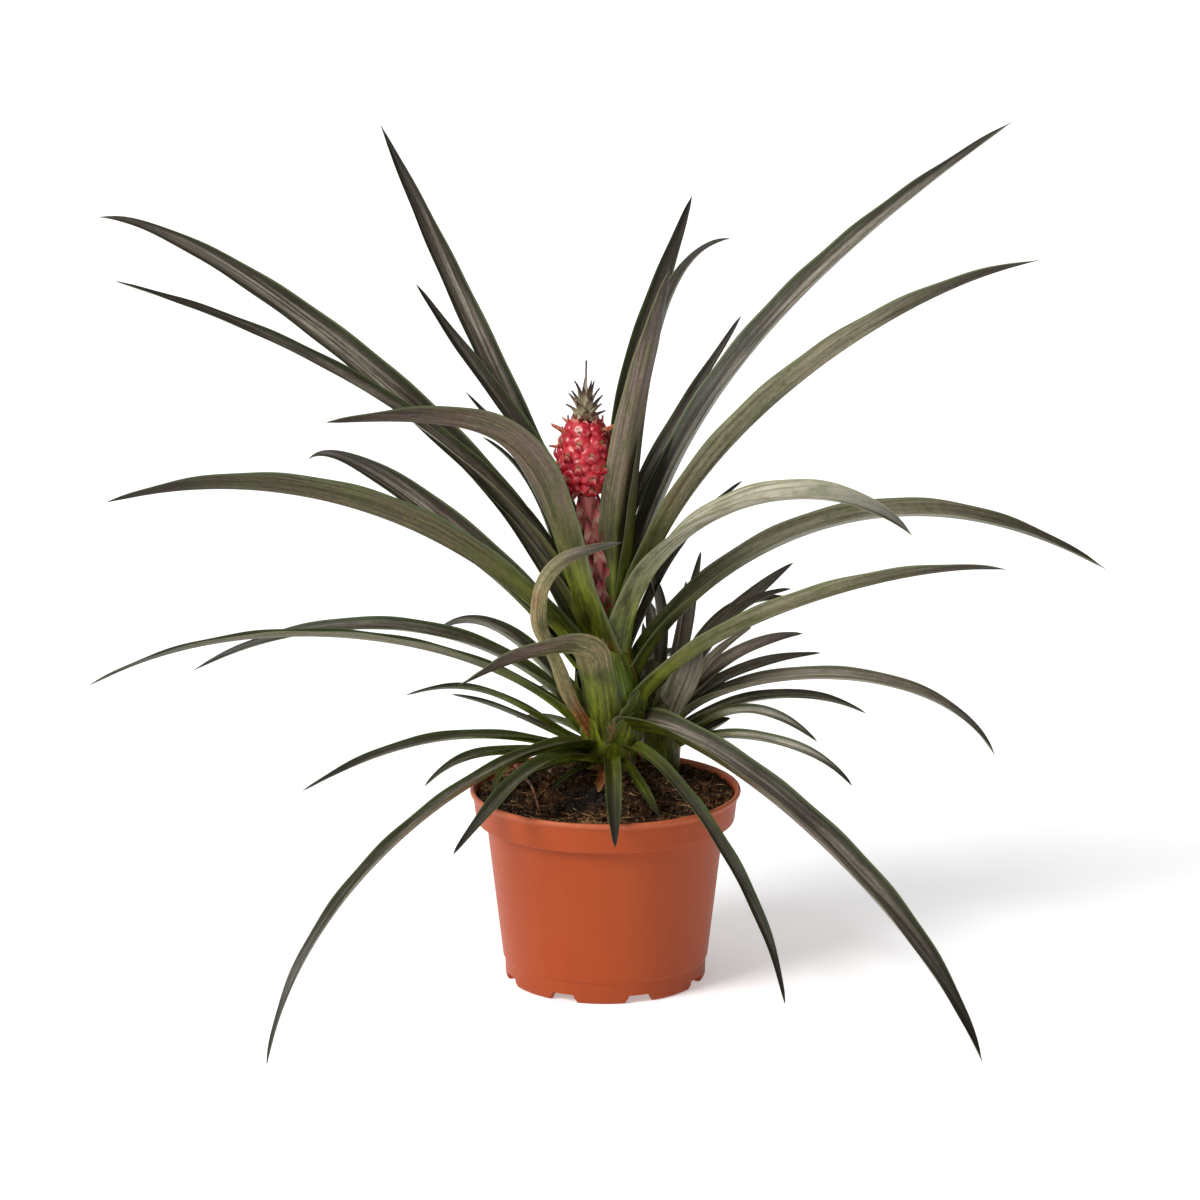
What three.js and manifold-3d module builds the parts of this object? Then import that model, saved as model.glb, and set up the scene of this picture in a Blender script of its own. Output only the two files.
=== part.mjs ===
// A small ornamental pineapple plant in a round plastic nursery pot.
// Units are millimetres, +Z is up, and the origin is the middle of the pot's foot.
// A leaf's turn is the compass direction in which it grows: 0 is right, 90 back, 180 left, 270 front.

import * as THREE from 'three';
import { mergeVertices } from 'three/addons/utils/BufferGeometryUtils.js';
import Module from 'manifold-3d';

const wasm = await Module();
wasm.setup();

// ---------------------------------------------------------------- driving dimensions

const GAP = 0.3;                 // air left between two pieces that touch

const POT = {
  height: 108,
  rimRadius: 75,
  wall: 1.6,
  bandBottom: 90,                // lower edge of the wide band under the rim
  bandRadius: 71.5,
  bodyTopRadius: 66,
  bodyFootRadius: 57,
  footHeight: 12.4,              // parting step above the foot ring
  footRadius: 56,
  floorHeight: 6,
  sides: 36,
};

const NOTCH = { count: 8, firstTurn: -70, width: 12, flare: 2.5, height: 4.6 };
const DRAIN = { count: 8, radius: 4, ringRadius: 44, sides: 8 };

const SOIL = { edgeHeight: 103.5, mound: 13.5, moundSpread: 30, lump: 0.9, sides: 24 };

const STEM = {
  x: 3,
  y: 15,
  foot: 84,
  buriedRadius: 9.5,
  // The wrapped girth as heights and radii, from the soil up to the shoulder.
  girth: [[121, 9.5], [128, 11.5], [138, 14], [150, 15.5], [163, 15.5], [174, 14], [183, 11], [190, 6.5]],
  top: 192,
  wraps: 3,                      // overlapping leaf bases round the girth
  wrapDepth: 0.08,               // how far each stands out, as a share of the radius
  wrapPitch: 31,                 // height over which they wind on by one base
};
const OFFSHOOT = { x: 31, y: 38, foot: 92, shoulder: 128, top: 146, radius: 7 };

// The fruit's stalk leans to the left as it rises out of the heart of the plant.
const STALK = { radius: 3.6, headRadius: 5, lean: [-14, -2], length: 80, bractRings: 5, bractLength: 14 };
const FRUIT = {
  radius: 12.2,
  halfHeight: 19,
  around: 8,                     // berries in a full row
  rows: 7,
  berry: [3.2, 4.9, 4],          // how far a berry stands out, and half its width and height
  bracts: 8,
  flowers: 6,
};
const CROWN = { radius: 4, leaves: 20, shortest: 12, longest: 22, spike: 34 };

// How far from the stem's axis the leaves start: the widest up to the shoulder, the narrowest on top.
const ROOTS = { widest: 7.5, narrowest: 3, shoulder: 150, top: 189 };

const BLADE = {
  middle: 1.5,                   // thickness at the rib
  edge: 0.9,
  tipWidth: 1.1,
  sheath: 1.3,                   // how much wider the base is than the blade
  sheathShare: 0.18,             // share of the length over which the base narrows
  taperFrom: 0.42,               // share of the length at which the blade starts to narrow
  taperPower: 2.6,
  rootFold: 40,
  tipFold: 14,
  step: 34,                      // length of blade between two sections
};

// Leaves of the main plant. Each has the height of its root on the stem and the slope at which it
// rises there, how far out and how high its tip is and the slope at which it arrives there. The
// pull says how far each slope is held, as a share of the span, and the sway how far the tip
// swings sideways. Then come its greatest width and how far the blade rolls about its rib.
const LEAVES = [
  // left, from the tallest down
  { name: 'leaf_left_01', turn: 148, root: 181, rise: 76, reach: 151, tip: 463, fall: 61,
    pull: [0.21, 0.67], sway: 0, width: 18, roll: -23 },
  { name: 'leaf_left_02', turn: 160, root: 186, rise: 78, reach: 114, tip: 380, fall: 54,
    pull: [0.5, 0.46], sway: 0, width: 13, roll: -30 },
  { name: 'leaf_left_03', turn: 172, root: 160, rise: 93, reach: 285, tip: 417, fall: -3,
    pull: [0.24, 0.17], sway: -3, width: 21, roll: -39 },
  { name: 'leaf_left_04', turn: 182, root: 166, rise: 88, reach: 267, tip: 389, fall: 16,
    pull: [0.28, 0.39], sway: -1, width: 13, roll: -27 },
  { name: 'leaf_left_05', turn: 207, root: 180, rise: 66, reach: 171, tip: 326, fall: -1,
    pull: [0.52, 0.66], sway: 6, width: 26, roll: 33 },
  { name: 'leaf_left_06', turn: 138, root: 182, rise: 86, reach: 110, tip: 314, fall: 36,
    pull: [0.4, 0.4], sway: 0, width: 8, roll: 0 },
  { name: 'leaf_left_07', turn: 150, root: 174, rise: 52, reach: 82, tip: 294, fall: 24,
    pull: [0.4, 0.4], sway: 0, width: 7, roll: 0 },
  { name: 'leaf_left_08', turn: 160, root: 164, rise: 66, reach: 180, tip: 278, fall: -39,
    pull: [0.12, 0.18], sway: 1, width: 20, roll: -33 },
  { name: 'leaf_left_09', turn: 198, root: 170, rise: 55, reach: 279, tip: 284, fall: -13,
    pull: [0.33, 0.38], sway: 0, width: 24, roll: 38 },
  { name: 'leaf_left_10', turn: 178, root: 150, rise: 88, reach: 82, tip: 285, fall: 41,
    pull: [0.18, 0.3], sway: 0, width: 10, roll: -28 },
  { name: 'leaf_left_11', turn: 170, root: 158, rise: 50, reach: 96, tip: 241, fall: 28,
    pull: [0.35, 0.4], sway: 0, width: 8, roll: 0 },
  { name: 'leaf_left_12', turn: 176, root: 132, rise: 57, reach: 234, tip: 166, fall: -30,
    pull: [0.39, 0.37], sway: -1, width: 13, roll: -22 },
  { name: 'leaf_left_13', turn: 190, root: 128, rise: 57, reach: 286, tip: 175, fall: -29,
    pull: [0.29, 0.35], sway: -1, width: 12, roll: 5 },
  { name: 'leaf_left_14', turn: 160, root: 140, rise: 44, reach: 106, tip: 183, fall: -40,
    pull: [0.38, 0.42], sway: 0, width: 16, roll: 0 },
  { name: 'leaf_left_15', turn: 196, root: 126, rise: 27, reach: 116, tip: 165, fall: -15,
    pull: [0.35, 0.45], sway: 0, width: 9, roll: 0 },
  { name: 'leaf_left_16', turn: 170, root: 125, rise: 18, reach: 90, tip: 153, fall: 8,
    pull: [0.4, 0.4], sway: 0, width: 7, roll: 0 },
  { name: 'leaf_left_17', turn: 202, root: 123, rise: 21, reach: 179, tip: 120, fall: -26,
    pull: [0.32, 0.46], sway: -2, width: 10, roll: -12 },
  { name: 'leaf_left_18', turn: 212, root: 122, rise: 11, reach: 119, tip: 122, fall: -41,
    pull: [0.35, 0.35], sway: 0, width: 12, roll: 0 },
  // right, from the tallest down
  { name: 'leaf_right_01', turn: 22, root: 183, rise: 81, reach: 242, tip: 464, fall: 29,
    pull: [0.26, 0.57], sway: 0, width: 22, roll: 8 },
  { name: 'leaf_right_02', turn: -16, root: 178, rise: 85, reach: 233, tip: 409, fall: 11,
    pull: [0.35, 0.26], sway: 0, width: 23, roll: -28 },
  { name: 'leaf_right_03', turn: 40, root: 187, rise: 92, reach: 95, tip: 359, fall: 48,
    pull: [0.35, 0.6], sway: 0, width: 10, roll: 15 },
  { name: 'leaf_right_04', turn: 62, root: 188, rise: 89, reach: 137, tip: 417, fall: 43,
    pull: [0.52, 0.53], sway: 20, width: 15, roll: 15 },
  { name: 'leaf_right_05', turn: -15, root: 186, rise: 79, reach: 66, tip: 414, fall: 8,
    pull: [0.23, 0.25], sway: -2, width: 17, roll: 35 },
  { name: 'leaf_right_06', turn: -34, root: 168, rise: 92, reach: 190, tip: 270, fall: -37,
    pull: [0.48, 0.33], sway: 0, width: 25, roll: 18 },
  { name: 'leaf_right_07', turn: 4, root: 150, rise: 98, reach: 275, tip: 224, fall: -32,
    pull: [0.14, 0.66], sway: 0, width: 22, roll: 15 },
  { name: 'leaf_right_08', turn: -26, root: 130, rise: 93, reach: 230, tip: 251, fall: -1,
    pull: [0.21, 0.29], sway: 0, width: 17, roll: -31 },
  { name: 'leaf_right_09', turn: 45, root: 168, rise: 60, reach: 105, tip: 262, fall: 20,
    pull: [0.4, 0.4], sway: 0, width: 8, roll: 0 },
  // front
  { name: 'leaf_front_01', turn: -62, root: 178, rise: 96, reach: 66, tip: 404, fall: 63,
    pull: [0.3, 0.64], sway: 0, width: 19, roll: 0 },
  { name: 'leaf_front_02', turn: 224, root: 127, rise: 36, reach: 250, tip: 3, fall: -77,
    pull: [0.18, 0.42], sway: 0, width: 13, roll: 13 },
  { name: 'leaf_front_03', turn: 236, root: 121, rise: 21, reach: 149, tip: 102, fall: -27,
    pull: [0.47, 0.45], sway: 0, width: 12, roll: 0 },
  { name: 'leaf_front_04', turn: -89, root: 121, rise: 24, reach: 115, tip: 103, fall: -28,
    pull: [0.4, 0.4], sway: 0, width: 10, roll: 0 },
  { name: 'leaf_front_05', turn: -71, root: 121, rise: 12, reach: 80, tip: 109, fall: -12,
    pull: [0.4, 0.4], sway: 0, width: 7, roll: 0 },
  { name: 'leaf_front_06', turn: -54, root: 127, rise: 50, reach: 182, tip: 31, fall: -63,
    pull: [0.14, 0.36], sway: -20, width: 11, roll: -13 },
  { name: 'leaf_front_07', turn: -42, root: 140, rise: 45, reach: 259, tip: 3, fall: -63,
    pull: [0.13, 0.39], sway: 2, width: 24, roll: -5 },
  { name: 'leaf_front_08', turn: 200, root: 120, rise: 10, reach: 68, tip: 110, fall: -15,
    pull: [0.4, 0.4], sway: 0, width: 6, roll: 0 },
  { name: 'leaf_front_09', turn: 229, root: 121, rise: 0, reach: 50, tip: 113, fall: -20,
    pull: [0.4, 0.4], sway: 0, width: 5, roll: 0 },
  { name: 'leaf_front_10', turn: -99, root: 121, rise: 0, reach: 44, tip: 113, fall: -15,
    pull: [0.4, 0.4], sway: 0, width: 6, roll: 0 },
  // back
  { name: 'leaf_back_01', turn: 95, root: 150, rise: 62, reach: 146, tip: 150, fall: -40,
    pull: [0.4, 0.4], sway: 0, width: 13, roll: 0 },
  { name: 'leaf_back_02', turn: 75, root: 135, rise: 45, reach: 150, tip: 130, fall: -30,
    pull: [0.4, 0.4], sway: 0, width: 11, roll: 0 },
  { name: 'leaf_back_03', turn: 118, root: 130, rise: 40, reach: 95, tip: 140, fall: -10,
    pull: [0.4, 0.4], sway: 0, width: 9, roll: 0 },
  { name: 'leaf_back_04', turn: 58, root: 145, rise: 50, reach: 120, tip: 150, fall: -25,
    pull: [0.4, 0.4], sway: 0, width: 10, roll: 0 },
  { name: 'leaf_back_05', turn: 82, root: 176, rise: 78, reach: 70, tip: 290, fall: 50,
    pull: [0.4, 0.4], sway: 0, width: 9, roll: 0 },
  { name: 'leaf_back_06', turn: 132, root: 124, rise: 25, reach: 80, tip: 128, fall: -15,
    pull: [0.4, 0.4], sway: 0, width: 8, roll: 0 },
];

// Two withered leaves hang folded over, so their ribs are drawn through points chosen by hand.
const FOLDED_LEAVES = [
  {
    name: 'leaf_front_11',
    turn: 245,
    width: 11,
    roll: 0,
    rib: [[-3, 11, 126], [-8, 3, 137], [-20, -3, 158], [-29, -9, 183], [-37, -15, 205],
      [-35, -20, 226], [-23, -28, 243], [-8, -34, 250], [9, -42, 256]],
  },
  {
    name: 'leaf_front_12',
    turn: 262,
    width: 22,
    roll: 0,
    rib: [[1, 9, 126], [-1, 2, 137], [-3, -4, 156], [-6, -9, 176], [-9, -15, 188],
      [-21, -25, 194], [-40, -37, 194], [-57, -47, 190], [-79, -58, 181]],
  },
];

// Leaves of the offshoot, listed the same way from its heart outwards.
const OFFSHOOT_LEAVES = [
  { turn: 60, root: 136, rise: 45, reach: 46, tip: 224, fall: 66, pull: [0.38, 0.38], width: 9,
    roll: 0 },
  { turn: 150, root: 138, rise: 86, reach: 10, tip: 227, fall: 60, pull: [0.38, 0.38], width: 13,
    roll: 0 },
  { turn: 0, root: 134, rise: 84, reach: 14, tip: 216, fall: 80, pull: [0.38, 0.38], width: 8,
    roll: 0 },
  { turn: 12, root: 134, rise: 66, reach: 76, tip: 223, fall: 37, pull: [0.45, 0.45], width: 14,
    roll: 25 },
  { turn: 100, root: 132, rise: 72, reach: 42, tip: 196, fall: 15, pull: [0.38, 0.38], width: 11,
    roll: 0 },
  { turn: -5, root: 131, rise: 61, reach: 72, tip: 213, fall: 9, pull: [0.38, 0.38], width: 10,
    roll: 30 },
  { turn: -35, root: 130, rise: 61, reach: 60, tip: 198, fall: 33, pull: [0.38, 0.38], width: 12,
    roll: 25 },
  { turn: 14, root: 129, rise: 78, reach: 85, tip: 198, fall: -21, pull: [0.4, 0.5], width: 10,
    roll: 20 },
  { turn: 175, root: 128, rise: 86, reach: 10, tip: 192, fall: 84, pull: [0.38, 0.38], width: 22,
    roll: 0 },
  { turn: -12, root: 127, rise: 63, reach: 80, tip: 190, fall: 10, pull: [0.38, 0.38], width: 13,
    roll: 30 },
  { turn: 5, root: 125, rise: 64, reach: 90, tip: 173, fall: 5, pull: [0.38, 0.38], width: 10,
    roll: 25 },
  { turn: -60, root: 124, rise: 66, reach: 42, tip: 187, fall: 60, pull: [0.38, 0.38], width: 22,
    roll: -10 },
  { turn: 55, root: 124, rise: 56, reach: 70, tip: 158, fall: -22, pull: [0.38, 0.38], width: 10,
    roll: 0 },
  { turn: -8, root: 124, rise: 80, reach: 187, tip: 123, fall: -63, pull: [0.25, 0.4], width: 14,
    roll: 15 },
  { turn: -2, root: 121, rise: 62, reach: 115, tip: 141, fall: -29, pull: [0.22, 0.42], width: 10,
    roll: 20 },
  { turn: -22, root: 120, rise: 40, reach: 93, tip: 133, fall: -34, pull: [0.45, 0.5], width: 10,
    roll: 20 },
  { turn: -15, root: 119, rise: 32, reach: 40, tip: 140, fall: 28, pull: [0.38, 0.38], width: 16,
    roll: 20 },
  { turn: -30, root: 119, rise: 36, reach: 120, tip: 115, fall: -46, pull: [0.3, 0.3], width: 10,
    roll: 15 },
];

const COLOURS = {
  pot: 0xb9603f,
  soil: 0x3a2a1c,
  stem: 0x7f9a3c,
  leaf: 0x46523a,
  witheredLeaf: 0x9a8a58,
  stalk: 0xb56a5e,
  fruit: 0xb8243a,
  crown: 0x6f7a5e,
  offshoot: 0x5a4a44,
};

// ---------------------------------------------------------------- small helpers

const radians = THREE.MathUtils.degToRad;

// Repeatable random numbers between 0 and 1.
function seededRandom(seed) {
  let state = seed;
  return () => {
    state = (state + 0x6d2b79f5) | 0;
    let mixed = Math.imul(state ^ (state >>> 15), 1 | state);
    mixed = (mixed + Math.imul(mixed ^ (mixed >>> 7), 61 | mixed)) ^ mixed;
    return ((mixed ^ (mixed >>> 14)) >>> 0) / 4294967296;
  };
}

// A closed surface becomes a solid once its corners are shared and flat slivers are gone.
function solidFrom(geometry) {
  const bare = geometry.clone();
  bare.deleteAttribute('normal');
  bare.deleteAttribute('uv');
  const merged = mergeVertices(bare, 1e-4);
  const triangles = [];
  for (let i = 0; i < merged.index.count; i += 3) {
    const [a, b, c] = [0, 1, 2].map((corner) => merged.index.getX(i + corner));
    if (a !== b && b !== c && c !== a) triangles.push(a, b, c);
  }
  return new wasm.Manifold(new wasm.Mesh({
    numProp: 3,
    vertProperties: new Float32Array(merged.attributes.position.array),
    triVerts: new Uint32Array(triangles),
  }));
}

// Joining and cutting can leave sealed hollows and loose scraps. Keeping only the largest body
// fills the one and drops the other.
function largestBody(solid) {
  const bodies = solid.decompose();
  return bodies.reduce((best, body) => (body.volume() > best.volume() ? body : best));
}

function geometryFrom(solid) {
  const mesh = solid.getMesh();
  const geometry = new THREE.BufferGeometry();
  geometry.setAttribute('position', new THREE.BufferAttribute(mesh.vertProperties, 3));
  geometry.setIndex(new THREE.BufferAttribute(mesh.triVerts, 1));
  geometry.computeVertexNormals();
  return geometry;
}

// A profile of [radius, height] points turned about the Z axis.
function turned(profile, sides) {
  const points = profile.map(([radius, height]) => new THREE.Vector2(radius, height));
  return new THREE.LatheGeometry(points, sides).rotateX(Math.PI / 2);
}

function fused(solids) {
  return largestBody(solids.reduce((whole, solid) => whole.add(solid)));
}

const plant = new THREE.Group();

function addPiece(name, geometry, colour, roughness) {
  const material = new THREE.MeshStandardMaterial({ color: colour, roughness, metalness: 0 });
  const piece = new THREE.Mesh(geometry, material);
  piece.name = name;
  plant.add(piece);
  return piece;
}

// ---------------------------------------------------------------- pot

// The outer wall, from the foot ring up to the rolled rim.
const potOutside = [
  [51.5, 0],
  [POT.footRadius - 1.4, 0],
  [POT.footRadius - 0.3, 1.4],
  [POT.footRadius, POT.footHeight - 0.6],
  [POT.bodyFootRadius, POT.footHeight],
  [POT.bodyTopRadius, POT.bandBottom],
  [POT.bandRadius, POT.bandBottom + 0.6],
  [POT.rimRadius - 1.9, POT.height - 4],
  [POT.rimRadius - 0.4, POT.height - 2.6],
  [POT.rimRadius, POT.height - 1.3],
  [POT.rimRadius - 0.6, POT.height],
];

// The inner wall, from the rim down to the floor.
const potInside = [
  [POT.rimRadius - 2.2, POT.height],
  [POT.rimRadius - 1.9 - POT.wall, POT.height - 3],
  [POT.bandRadius - POT.wall, POT.bandBottom + POT.wall + 0.6],
  [POT.bodyTopRadius - POT.wall, POT.bandBottom + POT.wall - 0.4],
  [POT.bodyFootRadius - POT.wall - 0.4, POT.floorHeight + POT.wall],
];

function potSolid() {
  const underFloor = [[0, POT.floorHeight], [50.5, POT.floorHeight]];
  const middle = [[0, POT.floorHeight + POT.wall]];
  let pot = solidFrom(turned([...underFloor, ...potOutside, ...potInside, ...middle], POT.sides));

  // Flared notches through the foot ring let water run out from under the floor.
  const half = NOTCH.width / 2;
  const opening = new THREE.Shape([
    new THREE.Vector2(-half - NOTCH.flare, -1),
    new THREE.Vector2(half + NOTCH.flare, -1),
    new THREE.Vector2(half, NOTCH.height),
    new THREE.Vector2(-half, NOTCH.height),
  ]);
  const notch = new THREE.ExtrudeGeometry(opening, { depth: 14, bevelEnabled: false });
  notch.rotateX(Math.PI / 2).rotateZ(Math.PI / 2).translate(47, 0, 0);
  for (let k = 0; k < NOTCH.count; k += 1) {
    const angle = radians(NOTCH.firstTurn + (360 / NOTCH.count) * k);
    pot = pot.subtract(solidFrom(notch.clone().rotateZ(angle)));
  }

  // Drain holes in the floor stand between the notches and the middle.
  const drain = new THREE.CylinderGeometry(DRAIN.radius, DRAIN.radius, 10, DRAIN.sides);
  drain.rotateX(Math.PI / 2).translate(DRAIN.ringRadius, 0, POT.floorHeight);
  for (let k = 0; k < DRAIN.count; k += 1) {
    const angle = radians(NOTCH.firstTurn + (360 / DRAIN.count) * k);
    pot = pot.subtract(solidFrom(drain.clone().rotateZ(angle)));
  }
  return largestBody(pot);
}

// ---------------------------------------------------------------- soil

// The surface is mounded round the stem and falls to a little below the rim.
function soilHeight(x, y) {
  const distance = Math.hypot(x - STEM.x, y - STEM.y);
  const mound = SOIL.mound * Math.exp(-((distance / SOIL.moundSpread) ** 2) / 2);
  const coarse = Math.sin(x / 7.3 + 1) * Math.cos(y / 6.1);
  const fine = Math.sin(x / 3.1 + y / 4.7 + 2);
  return SOIL.edgeHeight + mound + SOIL.lump * (coarse + 0.5 * fine);
}

function soilSolid() {
  const walls = [...potInside].reverse().slice(0, 4);
  const side = walls.map(([radius, height]) => [radius - GAP, height + GAP]);
  const bottom = [[0, side[0][1]], ...side.slice(0, 3)];
  const surfaceRings = [69.8, 62, 54, 46, 38, 30, 22, 14, 0];
  const surface = surfaceRings.map((radius) => [radius, SOIL.edgeHeight]);
  const geometry = turned([...bottom, ...surface], SOIL.sides);
  const position = geometry.attributes.position;
  for (let i = 0; i < position.count; i += 1) {
    if (Math.abs(position.getZ(i) - SOIL.edgeHeight) < 1e-3) {
      position.setZ(i, soilHeight(position.getX(i), position.getY(i)));
    }
  }
  return solidFrom(geometry);
}

// A plain round hole in the soil for a stem to stand in.
function plantingHole(stem, stemRadius) {
  const [radius, foot, above] = [stemRadius + GAP, stem.foot - GAP, 130];
  const hole = turned([[0, foot], [radius, foot], [radius, above], [0, above]], 24);
  return solidFrom(hole).translate([stem.x, stem.y, 0]);
}

// ---------------------------------------------------------------- stems

// The stem is wrapped in the bases of old leaves: three shallow overlapping spirals.
function stemSolid(clearance) {
  const rings = STEM.girth.map(([height, radius]) => [radius + clearance, height]);
  const foot = STEM.foot - clearance;
  const buried = [[0, foot], [STEM.buriedRadius + clearance, foot]];
  const geometry = turned([...buried, ...rings, [0, STEM.top + clearance]], 20);
  const position = geometry.attributes.position;
  for (let i = 0; i < position.count; i += 1) {
    const [x, y, z] = [position.getX(i), position.getY(i), position.getZ(i)];
    const turns = Math.atan2(y, x) / (2 * Math.PI) + 1;
    const wrap = (turns * STEM.wraps + z / STEM.wrapPitch) % 1;
    const swell = z > STEM.girth[0][0] ? 1 + STEM.wrapDepth * wrap : 1;
    position.setX(i, x * swell);
    position.setY(i, y * swell);
  }
  return solidFrom(geometry).translate([STEM.x, STEM.y, 0]);
}

// ---------------------------------------------------------------- leaf blades

// Leaves grow from deep inside the wrapped stem, the upper ones from nearer its middle.
function rootRadius(height) {
  const share = THREE.MathUtils.clamp((height - ROOTS.shoulder) / (ROOTS.top - ROOTS.shoulder), 0, 1);
  return THREE.MathUtils.lerp(ROOTS.widest, ROOTS.narrowest, share ** 1.5);
}

// The rib of a leaf is one bend from its root on the stem out to its tip.
function ribOf(leaf, centre, start) {
  const outward = new THREE.Vector3(Math.cos(radians(leaf.turn)), Math.sin(radians(leaf.turn)), 0);
  const sideways = new THREE.Vector3(-outward.y, outward.x, 0);
  const sway = leaf.sway ?? 0;
  const [startPull, endPull] = leaf.pull;
  const span = Math.hypot(leaf.reach - start, leaf.tip - leaf.root);
  const rise = radians(leaf.rise);
  const fall = radians(leaf.fall);
  const at = (distance, height, swing) => new THREE.Vector3(centre.x, centre.y, height)
    .addScaledVector(outward, distance)
    .addScaledVector(sideways, swing);
  const [startOut, startUp] = [Math.cos(rise), Math.sin(rise)].map((part) => part * startPull * span);
  const [endOut, endUp] = [Math.cos(fall), Math.sin(fall)].map((part) => part * endPull * span);
  return new THREE.CubicBezierCurve3(
    at(start, leaf.root, 0),
    at(start + startOut, leaf.root + startUp, 0),
    at(leaf.reach - endOut, leaf.tip - endUp, sway / 2),
    at(leaf.reach, leaf.tip, sway),
  );
}

// Full width along the inner half of the leaf, then an even taper to a narrow tip.
function widthAt(share, width) {
  const narrowed = THREE.MathUtils.smoothstep(share, 0, BLADE.sheathShare);
  const root = THREE.MathUtils.lerp(BLADE.sheath, 1, narrowed);
  const outer = THREE.MathUtils.clamp((share - BLADE.taperFrom) / (1 - BLADE.taperFrom), 0, 1);
  const taper = 1 - outer ** BLADE.taperPower;
  return BLADE.tipWidth + (width - BLADE.tipWidth) * root * taper;
}

// A blade is a shallow V section carried along the rib and closed at both ends. Its two faces
// are split into triangles alike, so that a twisted blade keeps its thickness.
function bladeSolid(leaf, rib, clearance = 0) {
  const steps = THREE.MathUtils.clamp(Math.round(rib.getLength() / BLADE.step), 4, 12);
  const side = new THREE.Vector3(-Math.sin(radians(leaf.turn)), Math.cos(radians(leaf.turn)), 0);
  const corners = [];
  for (let i = 0; i <= steps; i += 1) {
    const share = i / steps;
    const centre = rib.getPointAt(share);
    const tangent = rib.getTangentAt(share);
    side.addScaledVector(tangent, -side.dot(tangent)).normalize();
    const up = new THREE.Vector3().crossVectors(tangent, side);
    const roll = radians(leaf.roll) * THREE.MathUtils.smoothstep(share, 0.04, 0.5);
    const across = side.clone().multiplyScalar(Math.cos(roll)).addScaledVector(up, Math.sin(roll));
    const upper = up.clone().multiplyScalar(Math.cos(roll)).addScaledVector(side, -Math.sin(roll));
    const half = widthAt(share, leaf.width) / 2 + clearance;
    const fold = radians(THREE.MathUtils.lerp(BLADE.rootFold, BLADE.tipFold, Math.sqrt(share)));
    const thin = THREE.MathUtils.lerp(1, 0.75, share);
    const middle = (BLADE.middle * thin) / 2 + clearance;
    const edge = (BLADE.edge * thin) / 2 + clearance;
    const lift = (half * Math.sin(fold)) / 2;
    const reach = half * Math.cos(fold);
    const section = [
      [-reach, lift + edge], [0, middle - lift], [reach, lift + edge],
      [reach, lift - edge], [0, -middle - lift], [-reach, lift - edge],
    ];
    for (const [sideways, upward] of section) {
      corners.push(centre.clone().addScaledVector(across, sideways).addScaledVector(upper, upward));
    }
  }
  const index = [0, 1, 4, 0, 4, 5, 1, 2, 3, 1, 3, 4];
  const slantsForward = [true, false, true, true, false, true];
  for (let i = 0; i < steps; i += 1) {
    for (let j = 0; j < 6; j += 1) {
      const a = i * 6 + j;
      const b = a + 6;
      const d = i * 6 + ((j + 1) % 6);
      const c = d + 6;
      if (slantsForward[j]) index.push(a, b, c, a, c, d);
      else index.push(a, b, d, b, c, d);
    }
  }
  const last = steps * 6;
  index.push(last, last + 4, last + 1, last, last + 5, last + 4);
  index.push(last + 1, last + 3, last + 2, last + 1, last + 4, last + 3);
  const geometry = new THREE.BufferGeometry().setFromPoints(corners);
  geometry.setIndex(index);
  return solidFrom(geometry);
}

// ---------------------------------------------------------------- fruit, stalk and crown

const stalkFoot = new THREE.Vector3(STEM.x, STEM.y, STEM.top + GAP);
const stalkHead = stalkFoot.clone().add(new THREE.Vector3(...STALK.lean, STALK.length));
const fruitCentre = stalkHead.clone().setZ(stalkHead.z + GAP + FRUIT.halfHeight);
const crownSeat = fruitCentre.clone().setZ(fruitCentre.z + FRUIT.halfHeight + GAP);

// A small pointed scale or crown leaf: a slim four-sided spike, flattened, from its root to its tip.
function pointedScale(root, tip, width, thickness) {
  const length = root.distanceTo(tip);
  const scale = new THREE.ConeGeometry(width / 2, length, 4).scale(1, 1, thickness / width);
  scale.translate(0, length / 2, 0);
  const along = tip.clone().sub(root).normalize();
  const outward = new THREE.Vector3(root.x, root.y, 0).normalize();
  const across = new THREE.Vector3().crossVectors(along, outward).normalize();
  const facing = new THREE.Vector3().crossVectors(across, along);
  scale.applyMatrix4(new THREE.Matrix4().makeBasis(across, along, facing).setPosition(root));
  return solidFrom(scale);
}

// A point at an angle and a distance from an upright axis.
function around(angle, distance, height) {
  return new THREE.Vector3(distance * Math.cos(angle), distance * Math.sin(angle), height);
}

// Overlapping pink and cream bracts cover the fruit's stalk.
function stalkSolid(clearance) {
  const axis = new THREE.LineCurve3(stalkFoot, stalkHead);
  const length = axis.getLength();
  const [narrow, wide] = [STALK.radius + clearance, STALK.headRadius + clearance];
  const pieces = [solidFrom(turned([[0, 0], [narrow, 0], [wide, length - 1], [0, length]], 10))];
  const pitch = (length - STALK.bractLength - 1) / STALK.bractRings;
  for (let ring = 0; ring < STALK.bractRings; ring += 1) {
    for (let k = 0; k < 3; k += 1) {
      const angle = radians(120 * k + 47 * ring);
      const foot = pitch * (ring + 0.9);
      const root = around(angle, STALK.radius - 1.2, foot);
      const tip = around(angle, STALK.radius + 2, foot + STALK.bractLength);
      pieces.push(pointedScale(root, tip, 8, 2.6 + 2 * clearance));
    }
  }
  const upright = new THREE.Vector3(0, 0, 1);
  const leaning = new THREE.Quaternion().setFromUnitVectors(upright, axis.getTangent(0));
  const placed = new THREE.Matrix4().compose(stalkFoot, leaning, new THREE.Vector3(1, 1, 1));
  return fused(pieces).transform(placed.elements);
}

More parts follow.
